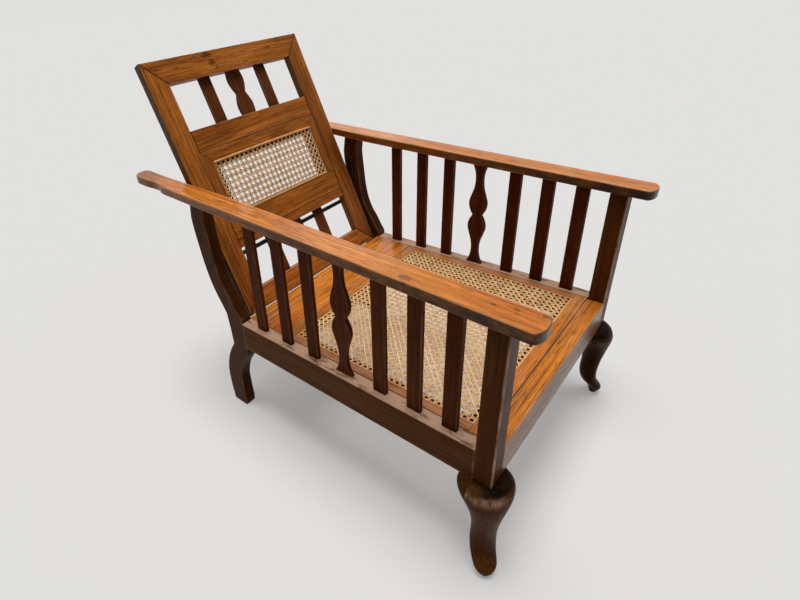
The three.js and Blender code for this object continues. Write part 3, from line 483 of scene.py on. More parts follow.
def add_piece(name, shells, body, nodes, finish, sharp=None, stain_and_shade=0.0, lift=0.0):
    """Makes one piece of a few shells, gives it its finish, and sets it on its body in place of
    the nodes it stands for. Each piece's grain starts at its own place, worked out from its name.
    A share of darkening, from staining or painted shade, makes all of it darker, and a lift lighter."""
    shells = shells if isinstance(shells, list) else [shells]
    rng = np.random.default_rng(sum(ord(letter) * (7 + i) for i, letter in enumerate(name)))
    counts = np.cumsum([0] + [len(shell.points) for shell in shells])
    faces = []
    for shell, start in zip(shells, counts):
        faces += (shell.quads + start).tolist() + [(end + start).tolist() for end in shell.ends]
    points = in_chair(np.concatenate([shell.points for shell in shells]))
    mesh = bpy.data.meshes.new(name)
    mesh.from_pydata(points.tolist(), [], faces)
    grain = np.concatenate([shell.grain for shell in shells]) + rng.uniform(-1, 1, 3)
    tone = np.concatenate([shell.tone for shell in shells]) + rng.uniform(-1, 1) + lift
    wear = np.concatenate([shell.wear for shell in shells])
    grime = np.maximum(np.concatenate([shell.grime for shell in shells]), stain_and_shade)
    mesh.attributes.new("grain", "FLOAT_VECTOR", "POINT").data.foreach_set(
        "vector", grain.astype(np.float32).ravel())
    for key, values in (("tone", tone), ("wear", wear), ("grime", grime)):
        made = mesh.attributes.new(key, "FLOAT", "POINT")
        made.data.foreach_set("value", values.astype(np.float32))
    mesh.polygons.foreach_set("use_smooth", np.ones(len(mesh.polygons), bool))
    mesh.update()
    if all(shell.normals is not None for shell in shells):
        mesh.normals_split_custom_set_from_vertices(
            np.concatenate([shell.normals for shell in shells]).tolist())
    elif sharp is not None:
        mesh.set_sharp_from_angle(angle=math.radians(sharp))
    piece = bpy.data.objects.new(name, mesh)
    bpy.context.scene.collection.objects.link(piece)
    mesh.materials.append(finish_named(finish))
    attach(piece, body)
    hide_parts(*nodes)


# ---------------------------------------------------------------- finishes


class Finish:
    """A material or world being made: adds nodes, and joins or sets their inputs."""

    def __init__(self, name, kind="materials"):
        self.owner = getattr(bpy.data, kind).new(name)
        self.owner.use_nodes = True
        self.tree = self.owner.node_tree
        self.tree.nodes.clear()

    def add(self, kind, inputs=None, **settings):
        """A node with its settings, and its inputs by name or number."""
        node = self.tree.nodes.new("ShaderNode" + kind)
        for key, value in settings.items():
            setattr(node, key, value)
        for key, value in (inputs or {}).items():
            socket = node.inputs[key]
            if isinstance(value, bpy.types.NodeSocket):
                self.tree.links.new(value, socket)
            else:
                socket.default_value = value
        return node

    def attribute(self, name):
        """A piece's own attribute."""
        return self.add("Attribute", attribute_name=name)

    def math(self, operation, *values, clamp=False):
        """A sum on numbers."""
        return self.add(
            "Math", dict(enumerate(values)), operation=operation, use_clamp=clamp).outputs[0]

    def vector(self, operation, *values, output=0):
        """A sum on vectors."""
        return self.add(
            "VectorMath", dict(enumerate(values)), operation=operation).outputs[output]

    def noise(self, vector, scale, detail=3.0, roughness=0.5, output="Fac"):
        """Noise on coordinates stretched by a scale on each axis."""
        stretched = self.add("Mapping", {"Vector": vector, "Scale": scale}).outputs[0]
        return self.add("TexNoise", {
            "Vector": stretched, "Scale": 1.0, "Detail": detail,
            "Roughness": roughness}).outputs[output]

    def span(self, value, low, high, to_low=0.0, to_high=1.0, smooth=False):
        """A number's range moved to another, and held at its ends."""
        return self.add(
            "MapRange", {0: value, 1: low, 2: high, 3: to_low, 4: to_high},
            interpolation_type="SMOOTHSTEP" if smooth else "LINEAR").outputs[0]

    def ramp(self, value, *stops):
        """A colour for each place along a number."""
        node = self.add("ValToRGB", {0: value})
        elements = node.color_ramp.elements
        while len(elements) < len(stops):
            elements.new(0.5)
        for element, (place, rgb) in zip(elements, stops):
            element.position = place
            element.color = (*rgb, 1)
        return node.outputs[0]

    def mix(self, share, first, second):
        """Two colours mixed."""
        values = {0: share, 6: first, 7: second}
        values = {k: (*v, 1) if isinstance(v, tuple) else v for k, v in values.items()}
        return self.add("Mix", values, data_type="RGBA").outputs[2]

    def shade(self, inputs):
        """The surface shader and the material's output."""
        shader = self.add("BsdfPrincipled", inputs)
        self.add("OutputMaterial", {0: shader.outputs[0]})
        return self.owner


def scaled(rgb, factor, toward=None, share=0.0):
    """A colour made lighter or darker, and moved a share of the way to another."""
    made = np.array(rgb) * factor
    if toward is not None:
        made = made * (1 - share) + np.array(toward) * share
    return tuple(float(value) for value in np.clip(made, 0, 1))


# Pale colours of rubbed wood, which also paint a sheen on rail tops, seat members and knee rims and
# a glint on arm edges, and the near black of soiling and painted shade
BARE_WOOD = (0.62, 0.36, 0.22)
BARE_FRAME_AND_SHEEN = (0.95, 0.6, 0.4)
GRIME_AND_SHADE_BLACK = (0.006, 0.0035, 0.002)


def wood_figure(f, grain, tone, contrast):
    """Growth rings about a pith beside the board, broad bands, streaks, fine lines and clouds,
    each noise times a weight, added up to one number. Also gives the coordinates that wander
    with the figure, and the fine lines."""
    wander = f.noise(grain, (8, 8, 1.7), detail=2, output="Color")
    shifted = f.vector("MULTIPLY_ADD", wander, (0.02, 0.02, 0.03), grain)
    radius = f.vector("LENGTH", f.vector("MULTIPLY", shifted, (1.0, 1.5, 0.06)), output=1)
    rings = f.add("TexNoise", {
        "W": f.math("MULTIPLY", radius, 330.0), "Scale": 1.0, "Detail": 3.0, "Roughness": 0.6},
        noise_dimensions="1D").outputs[0]
    streaks = f.noise(shifted, (120, 120, 3.2), detail=6, roughness=0.62)
    lines = f.noise(shifted, (520, 520, 10), detail=3, roughness=0.6)
    bands = f.noise(grain, (19, 19, 2.4), detail=2)
    clouds = f.noise(grain, (11, 11, 7), detail=4, roughness=0.6)
    total = f.math("MULTIPLY_ADD", rings, 0.5 * contrast, 0.5 - 1.35 * contrast)
    for part, weight in ((streaks, 0.75), (lines, 0.6), (bands, 0.45), (clouds, 0.4)):
        total = f.math("MULTIPLY_ADD", part, weight * contrast, total)
    return f.math("MULTIPLY_ADD", tone, 0.04, total), shifted, lines


def with_marks(f, colour_out, base, marks):
    """Knots and stains over a colour: each dark within an ellipsoid that noise makes ragged,
    in rings that rise and fall as a sine of the distance from its centre."""
    for centre, reach, strength in marks:
        local = f.add("Mapping", {
            "Vector": f.add("TexCoord").outputs["Object"],
            "Location": tuple(-c / r for c, r in zip(centre, reach)),
            "Scale": tuple(1 / r for r in reach)}).outputs[0]
        wobble = f.noise(local, (1.7, 1.7, 1.7), output="Color")
        ragged = f.vector("MULTIPLY_ADD", wobble, (1.3, 1.3, 1.3), local)
        away = f.vector("LENGTH", f.vector("SUBTRACT", ragged, (0.65, 0.65, 0.65)), output=1)
        body = f.span(away, 1.0, 0.3, 0.0, strength, smooth=True)
        ripple = f.math("MULTIPLY_ADD", f.math("SINE", f.math("MULTIPLY", away, 15.0)), 0.25, 0.8)
        colour_out = f.mix(
            f.math("MULTIPLY", body, ripple, clamp=True), colour_out, scaled(base, 0.06))
    return colour_out


def wood_surface(f, grain, lines, pores, worn_and_sheen, gloss):
    """Roughness, more in pores and where worn, and a bump of fine lines, dents and pores."""
    smear = f.noise(grain, (26, 26, 8), detail=4, roughness=0.6)
    rough = f.span(smear, 0.3, 0.7, gloss - 0.07, gloss + 0.12)
    rough = f.math("MULTIPLY_ADD", pores, 0.12, rough)
    rough = f.math("MULTIPLY_ADD", worn_and_sheen, 0.08, rough)
    dents = f.noise(grain, (55, 55, 14), detail=3)
    height = f.math("MULTIPLY_ADD", pores, -0.8, f.math("MULTIPLY", lines, 0.8))
    height = f.math("MULTIPLY_ADD", dents, 1.6, height)
    bump = f.add("Bump", {"Strength": 0.5, "Distance": 0.00035, "Height": height}).outputs[0]
    return {"Roughness": rough, "Normal": bump}


def hardwood(name, base, contrast, gloss, level, bare_and_sheen=BARE_WOOD, coat=0.0, marks=()):
    """Oiled hardwood on a piece's own grain coordinates. One number for its figure picks a
    colour; ruddy clouds, dark mineral lines, flecks and pores lie over it. Rubbed edges show pale
    wood, which on rail tops, seat members, knee rims and arm edges is also a painted sheen or
    glint. Joints turn dark, and the same darkening paints shade in corners, under things and on
    faces turned from the light. A mark is a knot, a stained patch or a broad darkening: its
    centre, its reach on each axis, and its strength."""
    f = Finish(name)
    grain = f.attribute("grain").outputs["Vector"]
    tone, wear, grime = (f.attribute(key).outputs["Fac"] for key in ("tone", "wear", "grime"))
    total, shifted, lines = wood_figure(f, grain, tone, contrast)
    colour_out = f.ramp(
        total, (0.1, scaled(base, 0.34)), (0.33, scaled(base, 0.7)), (0.5, base),
        (0.66, scaled(base, 1.28, (0.9, 0.5, 0.16), 0.04)),
        (0.9, scaled(base, 1.7, (0.95, 0.6, 0.25), 0.12)))
    ruddy = f.noise(grain, (13, 13, 3.1), detail=3, roughness=0.55)
    colour_out = f.mix(
        f.span(ruddy, 0.5, 0.68, 0.0, 0.5 * contrast), colour_out,
        tuple(value * share for value, share in zip(base, (0.78, 0.5, 0.42))))
    mineral = f.noise(shifted, (210, 210, 2.0), detail=2)
    colour_out = f.mix(
        f.span(mineral, 0.59, 0.69, 0.0, 0.6 * contrast), colour_out, scaled(base, 0.2))
    flecks = f.noise(shifted, (400, 400, 22), detail=3, roughness=0.6)
    colour_out = f.mix(
        f.span(flecks, 0.55, 0.66, 0.0, 0.65 * contrast), colour_out, scaled(base, 0.22))
    pores = f.span(f.noise(shifted, (1500, 1500, 55), detail=2), 0.57, 0.68)
    colour_out = f.mix(f.math("MULTIPLY", pores, 0.45), colour_out, scaled(base, 0.22))
    colour_out = with_marks(f, colour_out, base, marks)
    # Rubbed edges go pale; on rail tops, seat members, knee rims and arm edges this is also a
    # painted sheen or glint.
    scuffs = f.noise(grain, (75, 75, 22), detail=5, roughness=0.65)
    worn_and_sheen = f.math("MULTIPLY", wear, f.span(scuffs, 0.36, 0.64, 0.1, 1.0), clamp=True)
    colour_out = f.mix(f.math("MULTIPLY", worn_and_sheen, 0.88), colour_out, f.mix(0.2, bare_and_sheen, colour_out))
    # Joints and hollows darken towards near black, partly real soiling and partly painted shade.
    darkening_noise = f.noise(grain, (80, 80, 30), detail=4, roughness=0.6)
    dirt_and_shade = f.math("MULTIPLY", grime, f.span(darkening_noise, 0.3, 0.6, 0.75, 1.1), clamp=True)
    colour_out = f.mix(dirt_and_shade, colour_out, GRIME_AND_SHADE_BLACK)
    return f.shade({
        "Base Color": colour_out, **wood_surface(f, grain, lines, pores, worn_and_sheen, gloss),
        "IOR": 1.5, "Specular IOR Level": level, "Specular Tint": (1.0, 0.68, 0.44, 1.0),
        "Coat Weight": coat, "Coat Roughness": 0.16, "Coat IOR": 1.4})


def cane_finish(name, base, gloss):
    """Split cane on a strand's own coordinates: fine lines along it, nodes and stains where it
    ages, and a tone for each strand."""
    f = Finish(name)
    grain = f.attribute("grain").outputs["Vector"]
    tone = f.attribute("tone").outputs["Fac"]
    fibres = f.noise(grain, (2600, 40, 30), detail=3, roughness=0.6)
    patches = f.noise(grain, (12, 40, 26), detail=3)
    knots = f.noise(grain, (3, 7, 9), detail=1)
    value = f.math("MULTIPLY_ADD", fibres, 0.3, f.math("MULTIPLY", patches, 0.55))
    value = f.math("MULTIPLY_ADD", tone, 0.13, value)
    aged = tuple(value * share for value, share in zip(base, (0.76, 0.6, 0.42)))
    colour_out = f.ramp(
        value, (0.05, (0.2, 0.08, 0.02)), (0.3, aged),
        (0.5, base), (0.75, scaled(base, 1.25, (0.95, 0.9, 0.8), 0.2)))
    colour_out = f.mix(
        f.span(knots, 0.66, 0.74, 0.0, 0.45), colour_out,
        scaled(base, 0.35, (0.25, 0.12, 0.04), 0.3))
    rough = f.span(patches, 0.3, 0.7, gloss - 0.08, gloss + 0.14)
    bump = f.add("Bump", {"Strength": 0.4, "Distance": 0.0002, "Height": fibres}).outputs[0]
    return f.shade({"Base Color": colour_out, "Roughness": rough, "Normal": bump, "IOR": 1.48})


def iron_finish(name, base):
    """Old blackened iron: forge scale, pitting and rubbed edges."""
    f = Finish(name)
    place = f.attribute("grain").outputs["Vector"]
    wear = f.attribute("wear").outputs["Fac"]
    scale = f.noise(place, (120, 120, 120), detail=6, roughness=0.65)
    pits = f.noise(place, (700, 700, 700), detail=2)
    rust = f.noise(place, (55, 55, 55), detail=4, roughness=0.7)
    colour_out = f.ramp(
        scale, (0.3, scaled(base, 0.5)), (0.55, base),
        (0.75, scaled(base, 1.8, (0.12, 0.12, 0.13), 0.2)))
    colour_out = f.mix(f.span(rust, 0.58, 0.72, 0.0, 0.35), colour_out, (0.09, 0.035, 0.015))
    rubbed = f.math("MULTIPLY", wear, f.span(scale, 0.4, 0.6))
    colour_out = f.mix(f.math("MULTIPLY", rubbed, 0.5), colour_out, (0.16, 0.155, 0.15))
    rough = f.span(scale, 0.3, 0.7, 0.34, 0.58)
    height = f.math("MULTIPLY_ADD", pits, 0.5, scale)
    bump = f.add("Bump", {"Strength": 0.45, "Distance": 0.0003, "Height": height}).outputs[0]
    return f.shade({
        "Base Color": colour_out, "Roughness": rough, "Normal": bump, "Metallic": 0.65, "IOR": 1.5})


# Knots, stains and one broad darkening: centre, reach on each axis, strength, in metres of the frame
ARM_MARKS = (
    ((-0.311, -0.302, 0.61), (0.011, 0.016, 0.02), 0.7),
    ((-0.3256, -0.3088, 0.61), (0.0035, 0.006, 0.01), 0.9),
    ((-0.2939, -0.4452, 0.604), (0.004, 0.006, 0.01), 0.8),
    ((-0.2861, -0.4776, 0.602), (0.006, 0.007, 0.01), 0.75),
    ((-0.2957, -0.481, 0.602), (0.004, 0.005, 0.01), 0.7),
    ((-0.2765, -0.5166, 0.6), (0.007, 0.009, 0.02), 0.8),
    # a broad darkening over the near arm's rear end
    ((-0.31, 0.5, 0.64), (0.07, 0.1, 0.12), 0.5),
)
BACK_MARKS = (
    ((-0.0708, 0.4617, 0.9034), (0.024, 0.02, 0.009), 0.95),
    ((-0.062, 0.454, 0.885), (0.016, 0.02, 0.011), 0.85),
    ((-0.052, 0.4487, 0.872), (0.007, 0.02, 0.007), 0.8),
    ((-0.1086, 0.4622, 0.9043), (0.008, 0.02, 0.0035), 0.7),
    ((-0.1724, 0.4552, 0.8887), (0.012, 0.02, 0.004), 0.6),
    ((-0.0491, 0.3947, 0.7527), (0.004, 0.02, 0.007), 0.9),
    ((0.004, 0.3943, 0.752), (0.018, 0.02, 0.003), 0.6),
)


def finish_named(name):
    """A finish by the record's slot, made when it is first asked for."""
    made = bpy.data.materials.get(name)
    if made is not None and made.get("hand_made"):
        return made
    if made is not None:
        made.name = name + "_plain"
    maker, base, settings = {
        "frame_wood": (
            hardwood, "frame_wood",
            dict(contrast=0.6, gloss=0.32, level=0.04, bare_and_sheen=BARE_FRAME_AND_SHEEN)),
        "top_wood": (
            hardwood, "top_wood",
            dict(contrast=1.25, gloss=0.34, level=0.2, coat=0.3, marks=ARM_MARKS)),
        "slat_wood": (hardwood, "slat_wood", dict(contrast=0.55, gloss=0.4, level=0.04)),
        "back_wood": (
            hardwood, "back_wood", dict(contrast=1.3, gloss=0.38, level=0.2, marks=BACK_MARKS)),
        "cane": (cane_finish, "cane", dict(gloss=0.42)),
        "cane_binding": (cane_finish, "binding", dict(gloss=0.36)),
        "black_iron": (iron_finish, "iron", {}),
    }[name]
    made = maker(name, tuple(getattr(bpy.context.scene.chair_colours, base)), **settings)
    made["hand_made"] = True
    return made


# ---------------------------------------------------------------- the pieces


def arm_underside(y):
    """Height of the arm's underside at a place behind the posts' front faces."""
    return ARM_TOP_AT_FRONT - ARM_THICKNESS + ARM_RISE * y


def along_rail(share):
    """A place along a side rail, from a share of its length."""
    return POST_DEPTH + share * (SIDE_RAIL_END - POST_DEPTH)


class ChairStep:
    """What every step of the build shares."""

    bl_options = {"REGISTER", "UNDO"}

    def sizes(self):
        """The chair's sizes."""
        return bpy.context.scene.chair_sizes

    def edge(self, name):
        """The radius of an edge in millimetres."""
        return getattr(self.sizes(), name + "_edge") * 1000


# Each ring of the knee is height, middle, half length and half width, as shares
KNEE_RINGS = np.array([
    [0, 0.74, 0.157, 0.157], [0.022, 0.74, 0.185, 0.2], [0.06, 0.76, 0.25, 0.31],
    [0.105, 0.713, 0.295, 0.4], [0.15, 0.583, 0.315, 0.44], [0.205, 0.407, 0.325, 0.455],
    [0.27, 0.305, 0.33, 0.465], [0.36, 0.26, 0.335, 0.47], [0.45, 0.28, 0.35, 0.465],
    [0.545, 0.31, 0.39, 0.48], [0.62, 0.325, 0.44, 0.525], [0.7, 0.31, 0.52, 0.6],
    [0.77, 0.26, 0.615, 0.705], [0.83, 0.18, 0.71, 0.82], [0.88, 0.09, 0.79, 0.915],
    [0.925, 0.01, 0.825, 0.96], [0.96, -0.04, 0.815, 0.94], [0.985, -0.08, 0.75, 0.86],
    [1, -0.1, 0.66, 0.76],
])
KNEE_BLOCK_END = 28.0
KNEE_CUT_BELOW = 62.0
# Where the leg's middle moves over to the post's, where its outline takes in the post's corners,
# the painted glint along the knee's rim and the painted shade on its shelf, each as a height and
# the height over which it happens
LEG_TO_POST, LEG_TAKES_CORNERS = (172.0, 26.0), (196.0, 10.0)
KNEE_GLINT, KNEE_SHELF_SHADE = (213.0, 8.0), (219.0, 6.0)
CORNER_BLEND = 0.8
# The tops of the painted shade on the post above the shelf and of the darkening at the floor, and
# each leg's darkening below the rails: staining on both, and more as painted shade on the far leg
POST_SHADE_TOP, FOOT_DARKENING_TOP = 236.0, 5.5
LEG_STAIN_AND_SHADE = {-1.0: 0.22, 1.0: 0.65}


def knee_levels(heights):
    """Middle, half length and half width of the knee at each height, smooth through its rings."""
    rings = KNEE_RINGS * np.array([RAIL_BOTTOM, KNEE_REACH, KNEE_REACH, KNEE_REACH])
    dense = smooth_through(rings, 400)
    return [np.interp(heights, dense[:, 0], dense[:, i]) for i in (1, 2, 3)]


def rising(value, low, span):
    """0 up to a level, then straight up to 1 over a span, and 1 above it."""
    return np.clip((value - low) / span, 0, 1)


def to_planes(distance, component):
    """How far along each ray a plane lies, and very far where it lies behind."""
    with np.errstate(divide="ignore", invalid="ignore"):
        away = distance[:, None] / component[None]
    return np.where(away > 0, away, FAR)


def knee_axes(side):
    """The knee's outward diagonal and the direction across it."""
    outward = np.array([side, -1.0]) / math.sqrt(2)
    return outward, np.array([-outward[1], outward[0]])


def to_post(ray, edge):
    """Distance from the post's middle to its rounded square, found by halving: a point is inside
    where what passes the square less its edge radius is shorter than that radius."""
    half = np.array([POST_WIDTH / 2, POST_DEPTH / 2])
    low, high = np.zeros(len(ray)), np.full(len(ray), POST_WIDTH)
    for _ in range(40):
        guess = (low + high) / 2
        past = np.maximum(np.abs(ray * guess[:, None]) - (half - edge), 0)
        inside = np.linalg.norm(past, axis=1) < edge
        low, high = np.where(inside, guess, low), np.where(inside, high, guess)
    return low


def to_ellipse(start, direction, half_length, half_width):
    """Distance from a point inside an ellipse about the origin to its edge, along a direction:
    the positive root of the quadratic that says that the point reached lies on it."""
    a = (direction[0] / half_length) ** 2 + (direction[1] / half_width) ** 2
    b = start[0] * direction[0] / half_length ** 2 + start[1] * direction[1] / half_width ** 2
    c = (start[0] / half_length) ** 2 + (start[1] / half_width) ** 2 - 1
    return (-b + np.sqrt(np.maximum(b * b - a * c, 1e-9))) / a


def front_leg(side, edge):
    """A cabriole leg and its post. About a centre that moves from the leg's middle to the post's,
    a ring reaches in each direction as far as the knee's ellipse, cut off at the faces where
    rails and knee blocks join it, or as far as the post's rounded square where that is further."""
    tilt = math.atan2(POST_DEPTH, POST_WIDTH)
    diagonal = np.arange(4) * math.pi / 2 + tilt * np.array([1, -1, 1, -1])
    clusters = (diagonal[:, None] + np.linspace(-0.09, 0.09, 13)[None]).ravel()
    theta = np.unique(np.round(np.mod(np.concatenate([
        np.linspace(0, 2 * math.pi, 241)[:-1], clusters]), 2 * math.pi), 6))
    top = arm_underside(POST_DEPTH) - GLUE_GAP
    # rings crowd at the floor, under the knee, at its shelf and above it
    heights = np.unique(np.concatenate([
        [0, 0.5, 1.2, 2.2, 3.4], np.linspace(5, 165, 50), np.linspace(168, 212, 23),
        np.linspace(213, RAIL_BOTTOM, 28), [RAIL_BOTTOM + 0.02, 236, 262, 300, 400, 500, top]]))
    middle, half_length, half_width = knee_levels(heights)
    blend = rising(heights, *LEG_TO_POST)
    blend = blend * blend * (3 - 2 * blend)
    centre = middle * (1 - blend)
    outward, aside = knee_axes(side)
    ray = np.stack([np.cos(theta), np.sin(theta)], 1)
    ray_out, ray_side = ray @ outward, ray @ aside
    reach = to_ellipse(
        ((centre - middle)[:, None], 0.0), (ray_out[None], ray_side[None]),
        half_length[:, None], half_width[:, None])
    cx = side * (HALF_WIDTH - POST_WIDTH / 2) + outward[0] * centre
    cy = POST_DEPTH / 2 + outward[1] * centre
    faces = np.minimum(
        to_planes(side * POST_INNER - cx, ray[:, 0]), to_planes(POST_DEPTH - cy, ray[:, 1]))
    reach = np.minimum(reach, faces)
    post = np.broadcast_to(to_post(ray, edge)[None], reach.shape)
    level = heights[:, None]
    joined = 0.5 * (reach + post + np.sqrt((reach - post) ** 2 + CORNER_BLEND))
    joined = np.minimum(joined, faces)
    share = rising(level, *LEG_TAKES_CORNERS)
    radius = np.where(level > RAIL_BOTTOM, post, reach * (1 - share) + joined * share)
    x = cx[:, None] + ray[None, :, 0] * radius
    y = cy[:, None] + ray[None, :, 1] * radius
    rings = np.stack([x, y, np.broadcast_to(level, x.shape)], -1)
    rings[-1, :, 2] += ARM_RISE * (rings[-1, :, 1] - POST_DEPTH)
    corner = np.min(np.abs(theta[:, None] - np.mod(diagonal, 2 * math.pi)[None]), 1) < 0.06
    wear = np.where(level > RAIL_BOTTOM, corner[None] * 0.9, 0.0)
    # On the leg's outward side a pale band along the knee's rim is a painted glint.
    outer = np.clip(side * ray[None, :, 0] * 1.8, 0, 1) * (level <= RAIL_BOTTOM)
    wear = wear + np.exp(-((level - KNEE_GLINT[0]) / KNEE_GLINT[1]) ** 2) * outer
    # Painted shade on the shelf, most on its front, in the post's corner above it and under the arm;
    # the foot darker at the floor; and the leg darker below the rails, staining on both legs and
    # more as painted shade on the far one.
    shelf = rising(level, *KNEE_SHELF_SHADE) * (level <= RAIL_BOTTOM)
    grime = np.maximum.reduce(np.broadcast_arrays(
        shelf * (0.2 + 0.8 * np.clip(-2.5 * ray[None, :, 1], 0, 1)),
        np.minimum(rising(-level, -POST_SHADE_TOP, 7), 0.85) * (level > RAIL_BOTTOM),
        rising(-level, -FOOT_DARKENING_TOP, 2),
        np.minimum(rising(level - top, -30, 60), 0.5),
        LEG_STAIN_AND_SHADE[side] * (level < RAIL_BOTTOM)))
    grime, wear = (np.broadcast_to(part, x.shape).ravel() for part in (grime, wear))
    return ringed(rings, wear=wear * (1 - grime), grime=grime)


def knee_block(side, toward_side):
    """A block glued beside the knee. About a centre inside it, a ring reaches in each direction
    as far as the knee's ellipse or the nearest plane that the block is cut off at."""
    heights = np.linspace(RAIL_BOTTOM - KNEE_CUT_BELOW, RAIL_BOTTOM - GLUE_GAP, 46)
    middle, half_length, half_width = (level[:, None] for level in knee_levels(heights))
    outward, aside = knee_axes(side)
    angle = np.linspace(0, 2 * math.pi, 361)[:-1]
    ray = np.stack([np.cos(angle), np.sin(angle)], 1)
    leg_middle = np.array([side * (HALF_WIDTH - POST_WIDTH / 2), POST_DEPTH / 2])
    if toward_side:
        corners = [[POST_INNER, POST_DEPTH + GLUE_GAP], [FAR, POST_DEPTH + KNEE_BLOCK_END]]
    else:
        corners = [[POST_INNER - KNEE_BLOCK_END, -FAR], [POST_INNER - GLUE_GAP, POST_DEPTH]]
    corners = np.array(corners) * [side, 1]
    low, high = corners.min(0), corners.max(0)
    points = leg_middle + (middle + half_length * ray[:, 0])[..., None] * outward + (
        half_width * ray[:, 1])[..., None] * aside
    inside = np.all((points >= low) & (points <= high), -1)
    keep = inside.sum(1) > 8
    heights, middle, half_length, half_width, points, inside = (
        part[keep] for part in (heights, middle, half_length, half_width, points, inside))
    least = np.min(np.where(inside[..., None], points, FAR), 1)
    most = np.max(np.where(inside[..., None], points, -FAR), 1)
    centre = (least + most) / 2
    start = centre - leg_middle - middle * outward
    reach = to_ellipse(
        ((start @ outward)[:, None], (start @ aside)[:, None]), (ray @ outward, ray @ aside),
        half_length, half_width)
    for axis in (0, 1):
        for plane in (low, high):
            reach = np.minimum(reach, to_planes(plane[axis] - centre[:, axis], ray[:, axis]))
    flat_points = centre[:, None] + ray[None] * reach[..., None]
    rings = np.concatenate([
        flat_points, np.broadcast_to(heights[:, None, None], reach.shape + (1,))], -1)
    # Painted shade rising towards the rail above, deepest on the front block, over a little
    # staining.
    shelf = np.clip((heights - 210) / 10, 0.22, 0.95 if not toward_side else 0.4)
    return ringed(rings, grime=np.repeat(shelf, len(angle)))


class CHAIR_OT_front_legs(ChairStep, bpy.types.Operator):
    """Makes the front legs with their posts, and the knee blocks beside them"""

    bl_idname = "planters_chair.front_legs"
    bl_label = "Front legs"

    def execute(self, context):
        for name, side in SIDES:
            leg = front_leg(side, self.edge("board") * 1.3)
            # The far leg's knee blocks are painted darker all over, as shade.
            stain_and_shade = 0.6 if side > 0 else 0.0
            add_piece(f"{name}_front_leg", leg, "frame", [f"front_leg_{name}"], "frame_wood", 50)
            add_piece(f"{name}_side_knee_block", knee_block(side, True), "frame",
                      [f"knee_block_side_{name}"], "frame_wood", 40, stain_and_shade)
            add_piece(f"{name}_front_knee_block", knee_block(side, False), "frame",
                      [f"knee_block_front_{name}"], "frame_wood", 40, stain_and_shade)
        return {"FINISHED"}


REAR_LEG_LOWER = np.array([
    [0, 0.46, 0.96], [0.09, 0.44, 0.97], [0.2, 0.45, 1], [0.43, 0.46, 1], [0.56, 0.4, 0.95],
    [0.69, 0.28, 0.86], [0.82, 0.09, 0.72], [0.91, -0.02, 0.595], [0.965, -0.02, 0.515],
])
REAR_LEG_UPPER = np.array([
    [0.037, 0.01, 0.575], [0.093, 0.12, 0.665], [0.176, 0.26, 0.8], [0.266, 0.44, 0.93],
    [0.379, 0.58, 1.035], [0.514, 0.665, 1.125], [0.649, 0.705, 1.185], [0.769, 0.74, 1.235],
    [0.874, 0.76, 1.25],
])
REAR_LEG_TOP = (0.71, 1.18)


def rear_leg_outline():
    """The rear leg's double curve: edges smooth through shares of the foot's reach, by height."""
    def edge(rows, column, low, high):
        """One edge of the leg between two heights, from a column of its rows."""
        knots = np.stack([
            SIDE_RAIL_END + rows[:, column] * REAR_FOOT_REACH, low + rows[:, 0] * (high - low)], 1)
        curve = smooth_through(knots, 44)
        # samples that crowd the foot's corner are left out
        return curve if low > 0 else np.concatenate([curve[:1], curve[3:]])
    reach = arm_underside(SIDE_RAIL_END)
    tops = [SIDE_RAIL_END + share * REAR_FOOT_REACH for share in REAR_LEG_TOP[::-1]]
    return np.concatenate([
        edge(REAR_LEG_LOWER, 2, 0, RAIL_BOTTOM),
        [[SIDE_RAIL_END + 55, (RAIL_BOTTOM + RAIL_TOP) / 2]],
        edge(REAR_LEG_UPPER, 2, RAIL_TOP, reach),
        [[y, arm_underside(y) - GLUE_GAP] for y in tops],
        edge(REAR_LEG_UPPER, 1, RAIL_TOP, reach)[::-1],
        [[SIDE_RAIL_END + 0.2, RAIL_TOP], [SIDE_RAIL_END + 0.2, RAIL_BOTTOM]],
        edge(REAR_LEG_LOWER, 1, 0, RAIL_BOTTOM)[::-1],
    ])


class CHAIR_OT_rear_legs(ChairStep, bpy.types.Operator):
    """Makes the two rear legs, sawn to a double curve"""

    bl_idname = "planters_chair.rear_legs"
    bl_label = "Rear legs"

    def execute(self, context):
        edge = self.edge("rear_leg")
        for name, side in SIDES:
            faces = sorted([side * REAR_LEG_INNER, side * HALF_WIDTH])
            leg = sawn(rear_leg_outline(), *faces, across, "v", edge, edge + 0.4, worn_and_sheen=0.4)
            add_piece(
                f"{name}_rear_leg", leg, "frame", [f"rear_leg_{name}"], "frame_wood", stain_and_shade=0.3)
        return {"FINISHED"}


def upright_line(place):
    """A test for the points of a rail's section that lie on an upright face, below its top."""
    return near_lines([(place, RAIL_BOTTOM), (place, RAIL_TOP - 1.6)], reach=1.0)


def top_line(half):
    """A test for the points of a section that lie on its top."""
    return near_lines([(-half, RAIL_TOP), (half, RAIL_TOP)], reach=1.0)


